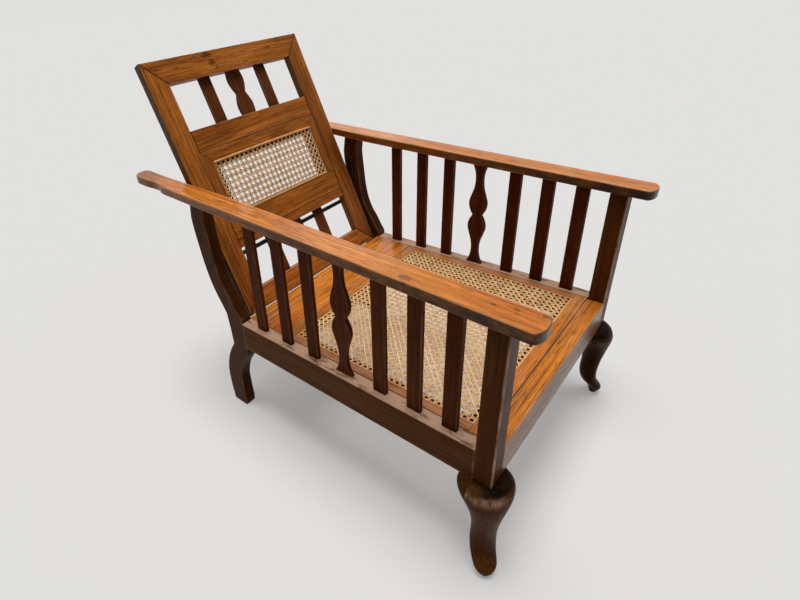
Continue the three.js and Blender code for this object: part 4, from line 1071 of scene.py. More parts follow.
class CHAIR_OT_rails(ChairStep, bpy.types.Operator):
    """Makes the side, front and rear rails, the fixed board behind the seat and the cleats"""

    bl_idname = "planters_chair.rails"
    bl_label = "Rails"

    def execute(self, context):
        corner = self.edge("board") + 0.3
        top = top_line(HALF_WIDTH)
        for name, side in SIDES:
            faces = sorted([side * RAIL_INNER, side * HALF_WIDTH])
            # Its top is rubbed pale, partly real rubbing and partly a painted sheen, and its inner
            # face is painted with shade.
            rail = sawn(
                rectangle(*faces, RAIL_BOTTOM, RAIL_TOP), POST_DEPTH + SHOULDER_GAP,
                SIDE_RAIL_END - SHOULDER_GAP, along_y, "w", END_EASE, corner,
                rubbed=lambda p: top(p) * 2.4, soiled=upright_line(side * RAIL_INNER))
            add_piece(f"{name}_side_rail", rail, "frame", [f"side_rail_{name}"], "frame_wood")
            faces = sorted([side * (RAIL_INNER - CLEAT_WIDTH), side * (RAIL_INNER - 0.1)])
            cleat = sawn(
                rectangle(*faces, SEAT_UNDERSIDE - CLEAT_HEIGHT, SEAT_UNDERSIDE),
                FRONT_RAIL_THICKNESS + 0.5, REAR_RAIL[0] - 0.5, along_y, "w", END_EASE, 0.8)
            add_piece(
                f"{name}_seat_cleat", cleat, "frame", [f"seat_cleat_{name}"], "frame_wood",
                stain_and_shade=0.2)
        inner, face = upright_line(FRONT_RAIL_THICKNESS), upright_line(0)
        half = POST_INNER - SHOULDER_GAP
        # Its inner face, and less its front face, are painted with shade.
        rail = sawn(
            rectangle(0, FRONT_RAIL_THICKNESS, RAIL_BOTTOM, RAIL_TOP), -half, half, across, "w",
            END_EASE, corner, soiled=lambda p: np.maximum(inner(p), face(p) * 0.62))
        add_piece("front_seat_rail", rail, "frame", ["front_rail"], "top_wood", stain_and_shade=0.12)
        half = RAIL_INNER - SHOULDER_GAP
        rail = sawn(
            rectangle(*REAR_RAIL, SEAT_UNDERSIDE - REAR_RAIL_HEIGHT, SEAT_UNDERSIDE),
            -half, half, across, "w", END_EASE, corner)
        add_piece("rear_seat_rail", rail, "frame", ["rear_rail"], "frame_wood")
        half = RAIL_INNER - GLUE_GAP
        board = sawn(
            rectangle(*REAR_BOARD, SEAT_UNDERSIDE + 0.1, RAIL_TOP), -half, half, across, "w",
            0.8, corner + 0.3)
        add_piece("fixed_rear_board", board, "frame", ["rear_board"], "top_wood")
        return {"FINISHED"}


def arm_outline(side):
    """The arm seen from above: a bowed front end, straight edges, a hollow in the outer edge, and
    a round tip."""
    end = ARM_REAR_END
    waist, tip = end - ARM_WAIST, end - ARM_TIP
    before, after = waist - ARM_HOLLOW / 2, waist + ARM_HOLLOW / 2
    waist_edge, tip_edge = ARM_OUTER - ARM_WAIST_IN, ARM_OUTER - ARM_TIP_IN
    inner_edge, round_start = ARM_INNER + ARM_INNER_IN, tip_edge - ARM_OUTER_ROUND
    sweep = np.linspace(math.pi, 2 * math.pi, 25)[:, None]
    middle, half = (ARM_INNER + ARM_OUTER) / 2, (ARM_OUTER - ARM_INNER) / 2
    bow = np.concatenate([middle + half * np.cos(sweep), ARM_FRONT + ARM_BOW * np.sin(sweep)], 1)
    hollow = [ARM_OUTER, waist - ARM_HOLLOW]
    outline = np.concatenate([
        bow,
        [hollow],
        bezier(hollow, [ARM_OUTER, before], [waist_edge, before], [waist_edge, waist]),
        bezier([waist_edge, waist], [waist_edge, after], [tip_edge, after], [tip_edge, tip]),
        bezier([tip_edge, tip], [tip_edge, end], [round_start, end]),
        bezier([round_start, end], [inner_edge, end], [inner_edge, end - ARM_INNER_ROUND]),
        [[inner_edge, waist], [ARM_INNER, SIDE_RAIL_END + 38]],
    ])
    return outline * np.array([side, 1.0])


def on_arm(points):
    """Outline in X and Y, lifted by the arm's rise to the rear."""
    x, y, z = np.moveaxis(points, -1, 0)
    return np.stack([x, y, z + ARM_TOP_AT_FRONT + ARM_RISE * y], -1)


class CHAIR_OT_arms(ChairStep, bpy.types.Operator):
    """Makes the two arms"""

    bl_idname = "planters_chair.arms"
    bl_label = "Arms"

    def execute(self, context):
        edge = self.edge("arm")
        for name, side in SIDES:
            # Its sides are painted with shade, most at the front end; the pale rubbing left along
            # its top edges is also a painted glint.
            arm = sawn(
                arm_outline(side), -ARM_THICKNESS, 0, on_arm, "v", edge, edge + 1, worn_and_sheen=1.2, fade=5,
                soiled=lambda p: np.where(p[:, 1] < ARM_FRONT + 10, 0.92, 0.5))
            add_piece(f"{name}_arm", arm, "frame", [f"arm_{name}"], "top_wood")
        return {"FINISHED"}


VASE = np.array([
    [0, 0.94], [0.04, 0.67], [0.1, 0.46], [0.17, 0.42], [0.24, 0.53], [0.31, 0.8], [0.375, 1],
    [0.44, 0.89], [0.5, 0.52],
])
SHORT_VASE = np.array([
    [0, 0.88], [0.13, 0.98], [0.25, 0.98], [0.36, 0.84], [0.44, 0.7], [0.5, 0.58],
])


def vase_outline(shares, centre, width, low, high, foot):
    """A splat about a centre line: half widths smooth through shares of the height up to its
    waist in the middle, the same again above it, and a square foot in each mortise."""
    half = width / 2
    lower = smooth_through(shares, 48)
    upper = lower[:-1][::-1] * [-1, 1] + [1, 0]
    edge = np.concatenate([lower, upper])
    right = np.stack([centre + edge[:, 1] * half, low + edge[:, 0] * (high - low)], 1)
    left = np.stack([centre - edge[:, 1] * half, low + edge[:, 0] * (high - low)], 1)
    foot_half = half * shares[0][1]
    return np.concatenate([
        [[centre - foot_half, low - foot], [centre + foot_half, low - foot]], right,
        [[centre + foot_half, high + foot], [centre - foot_half, high + foot]], left[::-1]])


# Heights along a slat from its lower and its upper shoulder, and the darkening there: soiling
# at the joints, and painted shade under the arm or under the back's rail above
SLAT_STATIONS = (
    (1 - MORTISE, 0.0, 2.5, 9.0, 40.0), (-60.0, -14.0, -1.0, MORTISE - 1),
    (1, 0.9, 0.5, 0.1, 0, 0, 0.15, 0.6, 1))
BACK_SLAT_STATIONS = (
    (1 - MORTISE, 0.0, 3.0, 10.0), (-30.0, -12.0, 0.0, MORTISE - 1),
    (1, 0.8, 0.3, 0, 0, 0.25, 0.95, 1))


def slat(section, low, high, place, edge, stations):
    """A straight slat from one mortise to the other."""
    above_low, from_high, grime = stations
    places = [low + step for step in above_low] + [high + step for step in from_high]
    return carried(section, places, place, edge + 0.2, 0.5, grime)


class CHAIR_OT_side_slats(ChairStep, bpy.types.Operator):
    """Makes the twelve slats and two vase-shaped splats of the sides"""

    bl_idname = "planters_chair.side_slats"
    bl_label = "Side slats"

    def execute(self, context):
        edge = self.edge("slat")
        for name, side in SIDES:
            faces = sorted([side * SLAT_INNER, side * SLAT_OUTER])
            for index, share in enumerate(SLAT_SHARES):
                middle = along_rail(share)
                section = rectangle(*faces, middle - SLAT_WIDTH / 2, middle + SLAT_WIDTH / 2)
                made = slat(section, RAIL_TOP, arm_underside(middle), flat, edge, SLAT_STATIONS)
                add_piece(
                    f"{name}_slat_{index + 1}", made, "frame",
                    [f"side_slat_{name}_{index + 1}"], "slat_wood")
            centre = along_rail(SPLAT_SHARE)
            outline = vase_outline(
                VASE, centre, SPLAT_WIDTH, RAIL_TOP, arm_underside(centre), MORTISE - 1)
            # Its sides are painted a little darker, as shade.
            splat = sawn(outline, *faces, across, "v", edge, 0.0, worn_and_sheen=0.5, fade=2, sides=0.4)
            add_piece(f"{name}_splat", splat, "frame", [f"side_splat_{name}"], "slat_wood")
        return {"FINISHED"}


def rebated(outer, rebate, ledge):
    """Section of a member with a rebate in its upper inner corner, from outer edge to ledge."""
    floor = RAIL_TOP - REBATE_DEPTH
    return [
        [outer, SEAT_UNDERSIDE], [ledge, SEAT_UNDERSIDE], [ledge, floor], [rebate, floor],
        [rebate, RAIL_TOP], [outer, RAIL_TOP]]


def rebate_shade(outer, rebate, ledge):
    """A test for the points of such a section that lie outside, under the cane or below it: painted
    shade.
    """
    floor = RAIL_TOP - REBATE_DEPTH
    return near_lines(
        [(outer, SEAT_UNDERSIDE), (outer, RAIL_TOP - 1.4)], [(rebate, floor), (ledge, floor)],
        [(ledge, SEAT_UNDERSIDE), (ledge, floor)], reach=1.3)


class CHAIR_OT_seat_frame(ChairStep, bpy.types.Operator):
    """Makes the four members of the drop-in seat's frame"""

    bl_idname = "planters_chair.seat_frame"
    bl_label = "Seat frame"

    def execute(self, context):
        edge = self.edge("board")
        open_front, open_rear = SEAT_REBATE_FRONT + LEDGE, SEAT_REBATE_REAR - LEDGE
        # The rear member is painted darker than the front, as shade from the back; both are painted
        # with shade under the cane and on their outer faces.
        for name, outer, rebate, ledge, stain_and_shade in (
                ("front", SEAT_FRONT, SEAT_REBATE_FRONT, open_front, 0.1),
                ("rear", SEAT_REAR, SEAT_REBATE_REAR, open_rear, 0.28)):
            member = sawn(
                rebated(outer, rebate, ledge), -SEAT_HALF, SEAT_HALF, across, "w", 0.8, edge,
                soiled=rebate_shade(outer, rebate, ledge))
            add_piece(
                f"seat_{name}_member", member, "seat", [f"seat_frame_{name}"], "top_wood",
                stain_and_shade=stain_and_shade)
        for name, side in SIDES:
            edges = side * SEAT_HALF, side * SEAT_REBATE_X, side * (SEAT_REBATE_X - LEDGE)
            top = top_line(SEAT_HALF)
            # Its top is rubbed pale, more on the near side, partly real rubbing and partly a painted
            # sheen; it is painted with shade under the cane and on its outer face.
            member = sawn(
                rebated(*edges), SEAT_REBATE_FRONT + 0.1, SEAT_REBATE_REAR - 0.1, along_y, "w",
                0.4, edge, soiled=rebate_shade(*edges),
                rubbed=lambda p: top(p) * (1.0 if side < 0 else 0.5))
            add_piece(
                f"seat_{name}_member", member, "seat", [f"seat_frame_{name}"], "top_wood",
                stain_and_shade=0.12)
        return {"FINISHED"}


X_AXIS, Y_AXIS, Z_AXIS = np.eye(3)
LINE_JITTER, STRAND_WANDER, STRAND_TONES = 0.22, 0.12, 1.3


def strand_frame(place, points, sideways):
    """Points put in place, with the directions there of a vector and of the panel's upward."""
    placed = place(points)
    return placed, unit(place(points + sideways) - placed), unit(place(points + Z_AXIS) - placed)


def weave(columns, rows, x_lines, y_lines, x_reach, y_reach, sizes, height, place, rng):
    """Six-way cane as three sets of strands. A pair of strands lies beside each line of a
    lattice, up and across, and single strands run both ways on the diagonals that pass the
    lattice half a cell from its crossings. A strand's height swings between over and under."""
    width, thickness = sizes.strand_width * 1000, sizes.strand_thickness * 1000
    gap = sizes.strand_pair * 500
    x0, x1 = x_lines
    y0, y1 = y_lines
    px, py = (x1 - x0) / columns, (y1 - y0) / rows
    swing = thickness * 0.55

    def jitter(count, amount):
        """Chance amounts, one for each strand."""
        return rng.uniform(-amount, amount, count)

    def finished(points, sideways, wide, tones):
        """Strands along flat paths, put in place."""
        return strands(*strand_frame(place, points, sideways), wide, thickness, tones)

    def pairs(first, pitch, count, reach, start, step, spaces_along, wave):
        """Two lines beside each of a row of holes: where they run, how they wander aside as a
        slow sine, and how they rise and fall by a cosine from hole to hole."""
        lines = np.repeat(first + np.arange(count + 1) * pitch, 2) + np.tile([-gap, gap], count + 1)
        lines = lines + jitter(len(lines), LINE_JITTER)
        run = np.linspace(*reach, spaces_along * 4 + 9)[None]
        aside = lines[:, None] + STRAND_WANDER * np.sin(run / wave + jitter(len(lines), 6)[:, None])
        phase = math.pi * ((run - start) / step) + math.pi * (np.arange(len(lines)) % 2)[:, None]
        return np.broadcast_to(run, aside.shape), aside, swing * np.cos(phase)

    # The lowest layer is painted darker and the next a little darker, and the diagonals on top
    # lighter: painted shade and light between the layers.
    run, u, rise = pairs(x0, px, columns, y_reach, y0, py, rows, 37.0)
    points = np.stack([u, run, height + rise], -1)
    up = finished(points, X_AXIS, width, jitter(len(u), STRAND_TONES) - 1.3)

    run, v, rise = pairs(y0, py, rows, x_reach, x0, px, columns, 41.0)
    points = np.stack([run, v, height + thickness * 0.9 - rise], -1)
    over = finished(points, Y_AXIS, width, jitter(len(v), STRAND_TONES) - 0.4)

    i_reach = (np.array(x_reach) - x0) / px
    j_reach = (np.array(y_reach) - y0) / py
    diagonals = []
    for slope in (1, -1):
        first = math.ceil(i_reach[0] - max(slope * j_reach) - 0.5)
        last = math.floor(i_reach[1] - min(slope * j_reach) - 0.5)
        offset = np.arange(first, last + 1) + 0.5
        ends = slope * (i_reach[:, None] - offset)
        low_j, high_j = np.maximum(j_reach[0], ends.min(0)), np.minimum(j_reach[1], ends.max(0))
        offset, low_j, high_j = (part[high_j - low_j > 0.6] for part in (offset, low_j, high_j))
        t = np.linspace(0, 1, int(max(j_reach[1] - j_reach[0], 4) * 3) + 3)
        j = low_j[:, None] + t[None] * (high_j - low_j)[:, None]
        i = offset[:, None] + slope * j
        lift = height + thickness * (1.45 + 0.35 * slope) + swing * 0.8 * np.cos(2 * math.pi * j)
        points = np.stack([x0 + i * px, y0 + j * py, lift], -1)
        sideways = unit(np.array([py, -slope * px, 0.0]))
        diagonals.append(
            finished(points, sideways, width * 1.06, jitter(len(offset), STRAND_TONES) + 0.3))
    return up, over, diagonals


def edge_strip(start, end, base, place, width, thickness, bow=0.0, below=0.3):
    """A strip of cane along one side of a panel: a low domed section carried from one corner to
    the other, bowed sideways by a sine arch."""
    start, end = np.asarray(start, float), np.asarray(end, float)
    t = np.linspace(0, 1, 60)
    ahead = unit(end - start)
    aside = np.array([-ahead[1], ahead[0]])
    wave = bow * np.sin(math.pi * t) + 0.12 * np.sin(t * 23) + 0.1 * np.sin(t * 51 + 1)
    middle = start + (end - start) * t[:, None] + aside * wave[:, None]
    angle = np.linspace(0, math.pi, 7)
    dome = np.stack([np.cos(angle) * width / 2, np.sin(angle) * thickness], 1)
    section = np.concatenate([dome, [[-width / 2, -below], [width / 2, -below]]])
    uv = middle[:, None] + aside * section[None, :, :1]
    w = np.broadcast_to(section[None, :, 1:] + base, uv.shape[:2] + (1,))
    run = np.linalg.norm(end - start) * t * 0.001
    grain = np.zeros(uv.shape[:2] + (3,))
    grain[..., 0] = section[None, :, 0] * 0.001
    grain[..., 2] = run[:, None]
    return ringed(place(np.concatenate([uv, w], -1)), grain=grain.reshape(-1, 3))


def panel_strips(half_x, low, high, base, place, widths, bow, proud=0.0):
    """Strips along the far, near, left and right sides of a panel."""
    (far, near, side), rise = widths, 0.36
    far_y, near_y, side_x = high - far / 2, low + near / 2, half_x - side / 2
    return [
        edge_strip([half_x, far_y], [-half_x, far_y], base + proud, place, far, far * rise, -bow,
                   0.3 + proud),
        edge_strip([-half_x, near_y], [half_x, near_y], base, place, near, near * rise),
        edge_strip([-side_x, low], [-side_x, high], base, place, side, side * rise),
        edge_strip([side_x, low], [side_x, high], base, place, side, side * rise)]


TURNING_INSET, TURNING_RISE = 1.2, 1.1
TURNING_WIDTH, TURNING_THICKNESS = 2.3, 0.8
LOOP_WIDTH, LOOP_THICKNESS, LOOP_TURN = 2.2, 0.5, 0.5
LOOP_SPAN, LOOP_RISE = 4.2, 2.0


def turnings(lines, fixed, base, place, rng):
    """Where strands pass from one hole of the frame to the next: between two lines of the weave
    a short strand that a half sine lifts and carries inward along the panel's upright edge."""
    t = np.linspace(0, 1, 7)
    here, there = lines[:-1] + TURNING_INSET, lines[1:] - TURNING_INSET
    run = here[:, None] + (there - here)[:, None] * t[None]
    arch = np.sin(math.pi * t)[None]
    away = (fixed + np.sign(-fixed) * TURNING_RISE * arch
            + rng.uniform(-0.3, 0.3, len(here))[:, None])
    points = np.stack([away, run, base + 0.2 + TURNING_RISE * arch + 0 * run], -1)
    return strands(
        *strand_frame(place, points, X_AXIS), TURNING_WIDTH, TURNING_THICKNESS,
        rng.uniform(-1.0, 1.6, len(here)))


def couching(half_x, low, high, pitch, base, place, rng):
    """Loops that hold the strip down: at each frame hole a short strand on half an ellipse over
    the strip, turned a little by chance."""
    across_count = max(int(2 * half_x / pitch), 2)
    up_count = max(int((high - low) / pitch), 2)
    spread_x = np.linspace(-half_x, half_x, across_count + 2)[1:-1]
    spread_y = np.linspace(low, high, up_count + 2)[1:-1]
    centres = np.concatenate([
        *(np.stack([spread_x, np.full(across_count, y)], 1) for y in (low, high)),
        *(np.stack([np.full(up_count, x), spread_y], 1) for x in (-half_x, half_x))])
    ahead_x, ahead_y = np.repeat([[0.0, 1.0], [1.0, 0.0]], [2 * across_count, 2 * up_count], 0).T
    turn = rng.uniform(-LOOP_TURN, LOOP_TURN, len(centres))
    direction = np.stack([
        ahead_x * np.cos(turn) - ahead_y * np.sin(turn),
        ahead_x * np.sin(turn) + ahead_y * np.cos(turn)], 1)
    angle = np.linspace(0.12, math.pi - 0.12, 7)
    run = np.cos(angle) * (LOOP_SPAN / 2 + 0.7)
    uv = centres[:, None] + direction[:, None] * run[None, :, None]
    w = base + np.sin(angle) * LOOP_RISE + 0.05
    points = np.concatenate([uv, np.broadcast_to(w[None, :, None], uv.shape[:2] + (1,))], -1)
    crosswise = np.stack([-direction[:, 1], direction[:, 0], np.zeros(len(centres))], 1)[:, None]
    placed, sideways, _ = strand_frame(place, points, crosswise)
    upward = unit(np.cross(sideways, unit(np.gradient(placed, axis=1))))
    return strands(
        placed, sideways, upward, LOOP_WIDTH, LOOP_THICKNESS, rng.uniform(-1.5, 1.5, len(centres)))


class CHAIR_OT_seat_cane(ChairStep, bpy.types.Operator):
    """Weaves the cane of the seat and binds its edge"""

    bl_idname = "planters_chair.seat_cane"
    bl_label = "Seat cane"

    def execute(self, context):
        sizes = self.sizes()
        rng = np.random.default_rng(11)
        floor = RAIL_TOP - REBATE_DEPTH
        half = SEAT_REBATE_X - GLUE_GAP
        low, high = SEAT_REBATE_FRONT + GLUE_GAP, SEAT_REBATE_REAR - GLUE_GAP
        up, over, diagonals = weave(
            sizes.seat_columns, sizes.seat_rows, SEAT_HOLES_X, SEAT_HOLES_Y,
            (-half + WEAVE_INSET, half - WEAVE_INSET), (low + WEAVE_INSET, high - WEAVE_INSET),
            sizes, floor + WEAVE_LIFT, flat, rng)
        add_piece("seat_cane_lengthwise", up, "seat", ["seat_cane"], "cane")
        add_piece("seat_cane_crosswise", over, "seat", ["seat_cane"], "cane")
        for name, strand_set in zip(("left", "right"), diagonals):
            add_piece(f"seat_cane_diagonal_{name}", strand_set, "seat", ["seat_cane"], "cane")
        strips = panel_strips(half, low, high, floor + STRIP_LIFT, flat, (3.4, 3.4, 3.0), 0.0)
        add_piece("seat_binding", strips, "seat", ["seat_cane_binding"], "cane_binding", 60, lift=1)
        loops = couching(half - 2.3, low + 2.3, high - 2.3, 15.0, floor + 2.2, flat, rng)
        add_piece("seat_couching", loops, "seat", ["seat_cane_binding"], "cane_binding")
        return {"FINISHED"}


def on_back_face(points):
    """Flat points in the back's X and Z, with a height counted forward from the back's middle."""
    x, z, forward = np.moveaxis(points, -1, 0)
    return on_back(np.stack([x, -forward, z], -1))


class CHAIR_OT_back_cane(ChairStep, bpy.types.Operator):
    """Weaves the cane of the back and binds its edge"""

    bl_idname = "planters_chair.back_cane"
    bl_label = "Back cane"

    def execute(self, context):
        sizes = self.sizes()
        rng = np.random.default_rng(23)
        floor = -BACK_FACE - REBATE_DEPTH
        half = BACK_CANE_HALF - GLUE_GAP
        low, high = CANE_BOTTOM + GLUE_GAP, CANE_TOP - GLUE_GAP
        up, over, diagonals = weave(
            sizes.back_columns, sizes.back_rows, BACK_HOLES_X, BACK_HOLES_Z,
            (-half + WEAVE_INSET, half - WEAVE_INSET), (low + 1.0, high - 1.0),
            sizes, floor + WEAVE_LIFT, on_back_face, rng)
        # Again the lower layers are painted darker and the diagonals lighter, as shade and light
        # between the layers.
        add_piece("back_cane_upward", up, "back", ["back_cane"], "cane", lift=-1)
        add_piece("back_cane_crosswise", over, "back", ["back_cane"], "cane", lift=-0.3)
        for name, strand_set in zip(("left", "right"), diagonals):
            add_piece(
                f"back_cane_diagonal_{name}", strand_set, "back", ["back_cane"], "cane", lift=0.6)
        strips = panel_strips(
            half, low, high, floor + STRIP_LIFT, on_back_face, (5.6, 3.2, 1.8), 1.4,
            REBATE_DEPTH - 2.6)
        add_piece("back_binding", strips, "back", ["back_cane_binding"], "cane_binding", 60, lift=2)
        heights = np.linspace(*BACK_HOLES_Z, sizes.back_rows + 1)
        loops = [
            turnings(heights, edge, floor + 2.4, on_back_face, rng)
            for edge in (half - 3, 3 - half)]
        add_piece("back_turnings", loops, "back", ["back_cane_binding"], "cane")
        return {"FINISHED"}


def frame_member(section, place, edge, start=0.0):
    """A member whose section is carried from one end to the other, with mitred ends. Its ends
    darken at the mitre joints, and its rebate behind the cane is painted with shade."""
    p, _, _, _, _, _, rub = dressed(section, edge, 1.0)
    shares = np.array([0, 0.004, 0.009, 0.5, 0.991, 0.996, 1])
    ends = (start + (1.0 - start) * shares)[:, None] * np.ones(len(p))
    local = np.concatenate([np.broadcast_to(p[None], ends.shape + (2,)), ends[..., None]], -1)
    grain = local * np.array([0.001, 0.001, 0.35 if start < 0 else 0.15])
    ledge, wall, lip = (np.asarray(section[i], float) for i in (2, 3, 4))
    # the rebate behind the cane is painted with shade
    cane_ledge_shade = near_lines((ledge, wall), (wall, wall + (lip - wall) * 0.5), reach=1.3)(p)
    dirt_and_shade = np.maximum(np.array([0.4, 0.3, 0, 0, 0, 0.3, 0.4])[:, None], cane_ledge_shade[None])
    wear = rub[None] * 0.8 * (1 - dirt_and_shade)
    return ringed(place(local), grain=grain.reshape(-1, 3), wear=wear.ravel(), grime=dirt_and_shade.ravel())


def back_board(outline, along, edge, sides, joined, **more):
    """A board of the back's thickness, darkened where its outline's sides, named by the corner
    that they start from, meet other members, and with the faces round its edge painted darker by
    a share, as shade."""
    ends = [(outline[i], outline[(i + 1) % len(outline)]) for i in joined]
    return sawn(
        outline, BACK_FACE, BACK_REAR, back_flat, along, edge, joints=near_lines(*ends),
        sides=sides, **more)


class CHAIR_OT_back_frame(ChairStep, bpy.types.Operator):
    """Makes the back's mitred outer frame, its cross rails and the inner frame round the cane"""

    bl_idname = "planters_chair.back_frame"
    bl_label = "Back frame"

    def execute(self, context):
        edge = self.edge("board")
        gap = GLUE_GAP
        for name, side in SIDES:
            outer, inner = side * BACK_HALF, side * STILE_INNER
            outline = [
                [outer, BACK_FOOT], [outer, BACK_TOP], [inner, OPENING_TOP],
                [inner, UPPER_RAIL_TOP + 3], [inner, UPPER_RAIL_TOP - 0.5],
                [inner, LOWER_RAIL + 0.5], [inner, LOWER_RAIL - 3], [inner, OPENING_BOTTOM]]
            # Its outer face is painted with shade, and its other faces round the edge a little.
            stile = back_board(
                outline, "v", edge, 0.45, (1, 7, 4),
                soiled=lambda p: (np.abs(p[:, 0]) > BACK_HALF - 1) * 0.85)
            add_piece(
                f"{name}_back_stile", stile, "back", [f"back_stile_{name}"], "back_wood",
                lift=-3.5 if side > 0 else 0)
        mitre = gap * math.sqrt(2)
        long, short = BACK_HALF - mitre, STILE_INNER - mitre
        for name, outer, inner in (
                ("top", BACK_TOP, OPENING_TOP), ("bottom", BACK_FOOT, OPENING_BOTTOM)):
            # Their faces round the edge are painted a little darker, as shade.
            outline = [[-long, outer], [long, outer], [short, inner], [-short, inner]]
            add_piece(
                f"back_{name}_mitred_rail", back_board(outline, "u", edge, 0.35, (1, 3)), "back",
                [f"back_{name}_rail"], "back_wood", lift=3.5)
        half = STILE_INNER - gap
        # The boards' faces round the edge are painted a little darker, as shade.
        rail = back_board(
            rectangle(-half, half, UPPER_RAIL, UPPER_RAIL_TOP), "u", edge, 0.3, (0, 1, 3))
        add_piece(
            "back_upper_board", rail, "back", ["back_upper_cross_rail"], "back_wood", lift=2.5)
        rail = back_board(
            rectangle(-half, half, LOWER_RAIL, CANE_BOTTOM), "u", edge, 0.3, (2, 1, 3))
        open_half = BACK_CANE_HALF - LEDGE
        ledge = sawn(
            rectangle(-open_half + gap, open_half - gap, CANE_BOTTOM - 1, CANE_BOTTOM + FOOT_LEDGE),
            BACK_FACE + REBATE_DEPTH, BACK_REAR, back_flat, "u", 0.6)
        # the half of its rings that faces the cane is painted with shade
        ledge.grime = (np.arange(len(ledge.points)) < len(ledge.points) / 2) * 1.0
        add_piece(
            "back_lower_board", [rail, ledge], "back", ["back_lower_cross_rail"], "back_wood",
            lift=1.5)

        # the inner frame's mitre: a member's length depends on the place across it
        steps = np.array([open_half, BACK_CANE_HALF, half])
        heads = np.array([CANE_TOP - LEDGE, CANE_TOP, UPPER_RAIL - gap])
        start = CANE_BOTTOM + gap

        def on_side_member(points):
            """Section in X and Y, with a share of the way up to the mitre."""
            x, y, z = np.moveaxis(points, -1, 0)
            reach = np.interp(np.abs(x), steps, heads) - mitre / 2
            return on_back(np.stack([x, y, start + z * (reach - start)], -1))

        def on_head_member(points):
            """Section in Y and Z, with a share, -1 to 1, of the way out to the mitre."""
            y, z, x = np.moveaxis(points, -1, 0)
            reach = np.interp(z, heads, steps) - mitre / 2
            return on_back(np.stack([x * reach, y, z], -1))

        def section(outer, rebate, ledge_edge):
            """Section of a member with a rebate in its front, from outer edge to ledge."""
            floor = BACK_FACE + REBATE_DEPTH
            return [
                [outer, BACK_REAR], [ledge_edge, BACK_REAR], [ledge_edge, floor],
                [rebate, floor], [rebate, BACK_FACE], [outer, BACK_FACE]]

        for name, side in SIDES:
            shape = section(side * half, side * BACK_CANE_HALF, side * open_half)
            add_piece(
                f"{name}_cane_frame_member", frame_member(shape, on_side_member, edge), "back",
                [f"back_cane_frame_{name}"], "back_wood", 40)
        head = [[y, z] for z, y in section(*heads[::-1])]
        add_piece(
            "top_cane_frame_member", frame_member(head, on_head_member, edge, -1.0), "back",
            ["back_cane_frame_top"], "back_wood", 40)
        return {"FINISHED"}


class CHAIR_OT_back_slats(ChairStep, bpy.types.Operator):
    """Makes the four slats and two splats of the back"""

    bl_idname = "planters_chair.back_slats"
    bl_label = "Back slats"

    def execute(self, context):
        edge = self.edge("slat")
        # The back's slats and splats are lifted lighter than the same wood at the sides, as painted
        # light.
        for place_name, low, high in (
                ("upper", UPPER_RAIL_TOP, OPENING_TOP), ("lower", OPENING_BOTTOM, LOWER_RAIL)):
            for name, side in SIDES:
                middle = side * BACK_SLAT_PLACE
                section = rectangle(
                    middle - BACK_SLAT_HALF, middle + BACK_SLAT_HALF,
                    BACK_SLAT_FACE, BACK_SLAT_REAR)
                made = slat(section, low, high, on_back, edge, BACK_SLAT_STATIONS)
                add_piece(
                    f"{name}_{place_name}_back_slat", made, "back",
                    [f"back_slat_{place_name}_{name}"], "slat_wood", lift=4)
            outline = vase_outline(SHORT_VASE, 0, BACK_SPLAT_WIDTH, low, high, MORTISE - 1)
            # Its sides are painted darker, as shade.
            splat = sawn(
                outline, BACK_SLAT_FACE, BACK_SLAT_REAR, back_flat, "v", edge, 0.0, worn_and_sheen=0.5,
                fade=2, sides=0.6)
            add_piece(
                f"{place_name}_back_splat", splat, "back", [f"back_splat_{place_name}"],
                "slat_wood", lift=4)
        return {"FINISHED"}


ROD_Y = PIVOT_Y + ROD_UP_BACK * math.sin(RECLINE) + ROD_BEHIND * math.cos(RECLINE)
ROD_Z = PIVOT_Z + ROD_UP_BACK * math.cos(RECLINE) - ROD_BEHIND * math.sin(RECLINE)


def spine_front(z):
    """Front edge of a hook plate at a height."""
    return ROD_Y - TROUGH - SPINE_WIDTH + HOOK_LEAN * (z - ROD_Z)


def spine_rear(z):
    """Rear edge of a hook plate's spine at a height."""
    return spine_front(z) + SPINE_WIDTH


# Corners of a finger from the rod's middle, to the rear of the back and up along it
FINGER = (
    (0, -TROUGH - FINGER_DEPTH), (TROUGH * 0.8, -TROUGH - 2.6), (TROUGH + 5, -TROUGH / 2),
    (TROUGH + 5, 7), (TROUGH + 3.6, 8), (TROUGH + 1.4, 8), (TROUGH, 6.8))


def hook_outline():
    """A hook plate: a spine with three fingers that rise behind the rod's places, and a head.
    Each finger ends in the round trough under the rod."""
    bottom = ROD_Z - PLATE_BELOW
    outline = [[spine_front(bottom), bottom], [spine_rear(bottom), bottom]]
    up = np.array([math.sin(RECLINE), math.cos(RECLINE)])
    rear = np.array([math.cos(RECLINE), -math.sin(RECLINE)])
    for index in range(HOOK_COUNT):
        rise = index * HOOK_PITCH
        centre = np.array([ROD_Y + HOOK_LEAN * rise, ROD_Z + rise])
        root = centre[1] - TROUGH - FINGER_DEPTH - 2.5
        outline.append([spine_rear(root), root])
        outline += [list(centre + rear * behind + up * above) for behind, above in FINGER]
        angle = np.linspace(-RECLINE, -math.pi, 17)
        outline += (centre + TROUGH * np.stack([np.cos(angle), np.sin(angle)], 1)).tolist()
    y, z = centre[0] + TROUGH + 5, centre[1]
    top = z + PLATE_ABOVE
    return outline + [
        [spine_rear(z + PLATE_HEAD), z + PLATE_HEAD], [y, z + PLATE_HEAD],
        [y, z + PLATE_HEAD_TOP], [spine_rear(top), top], [spine_front(top), top]]


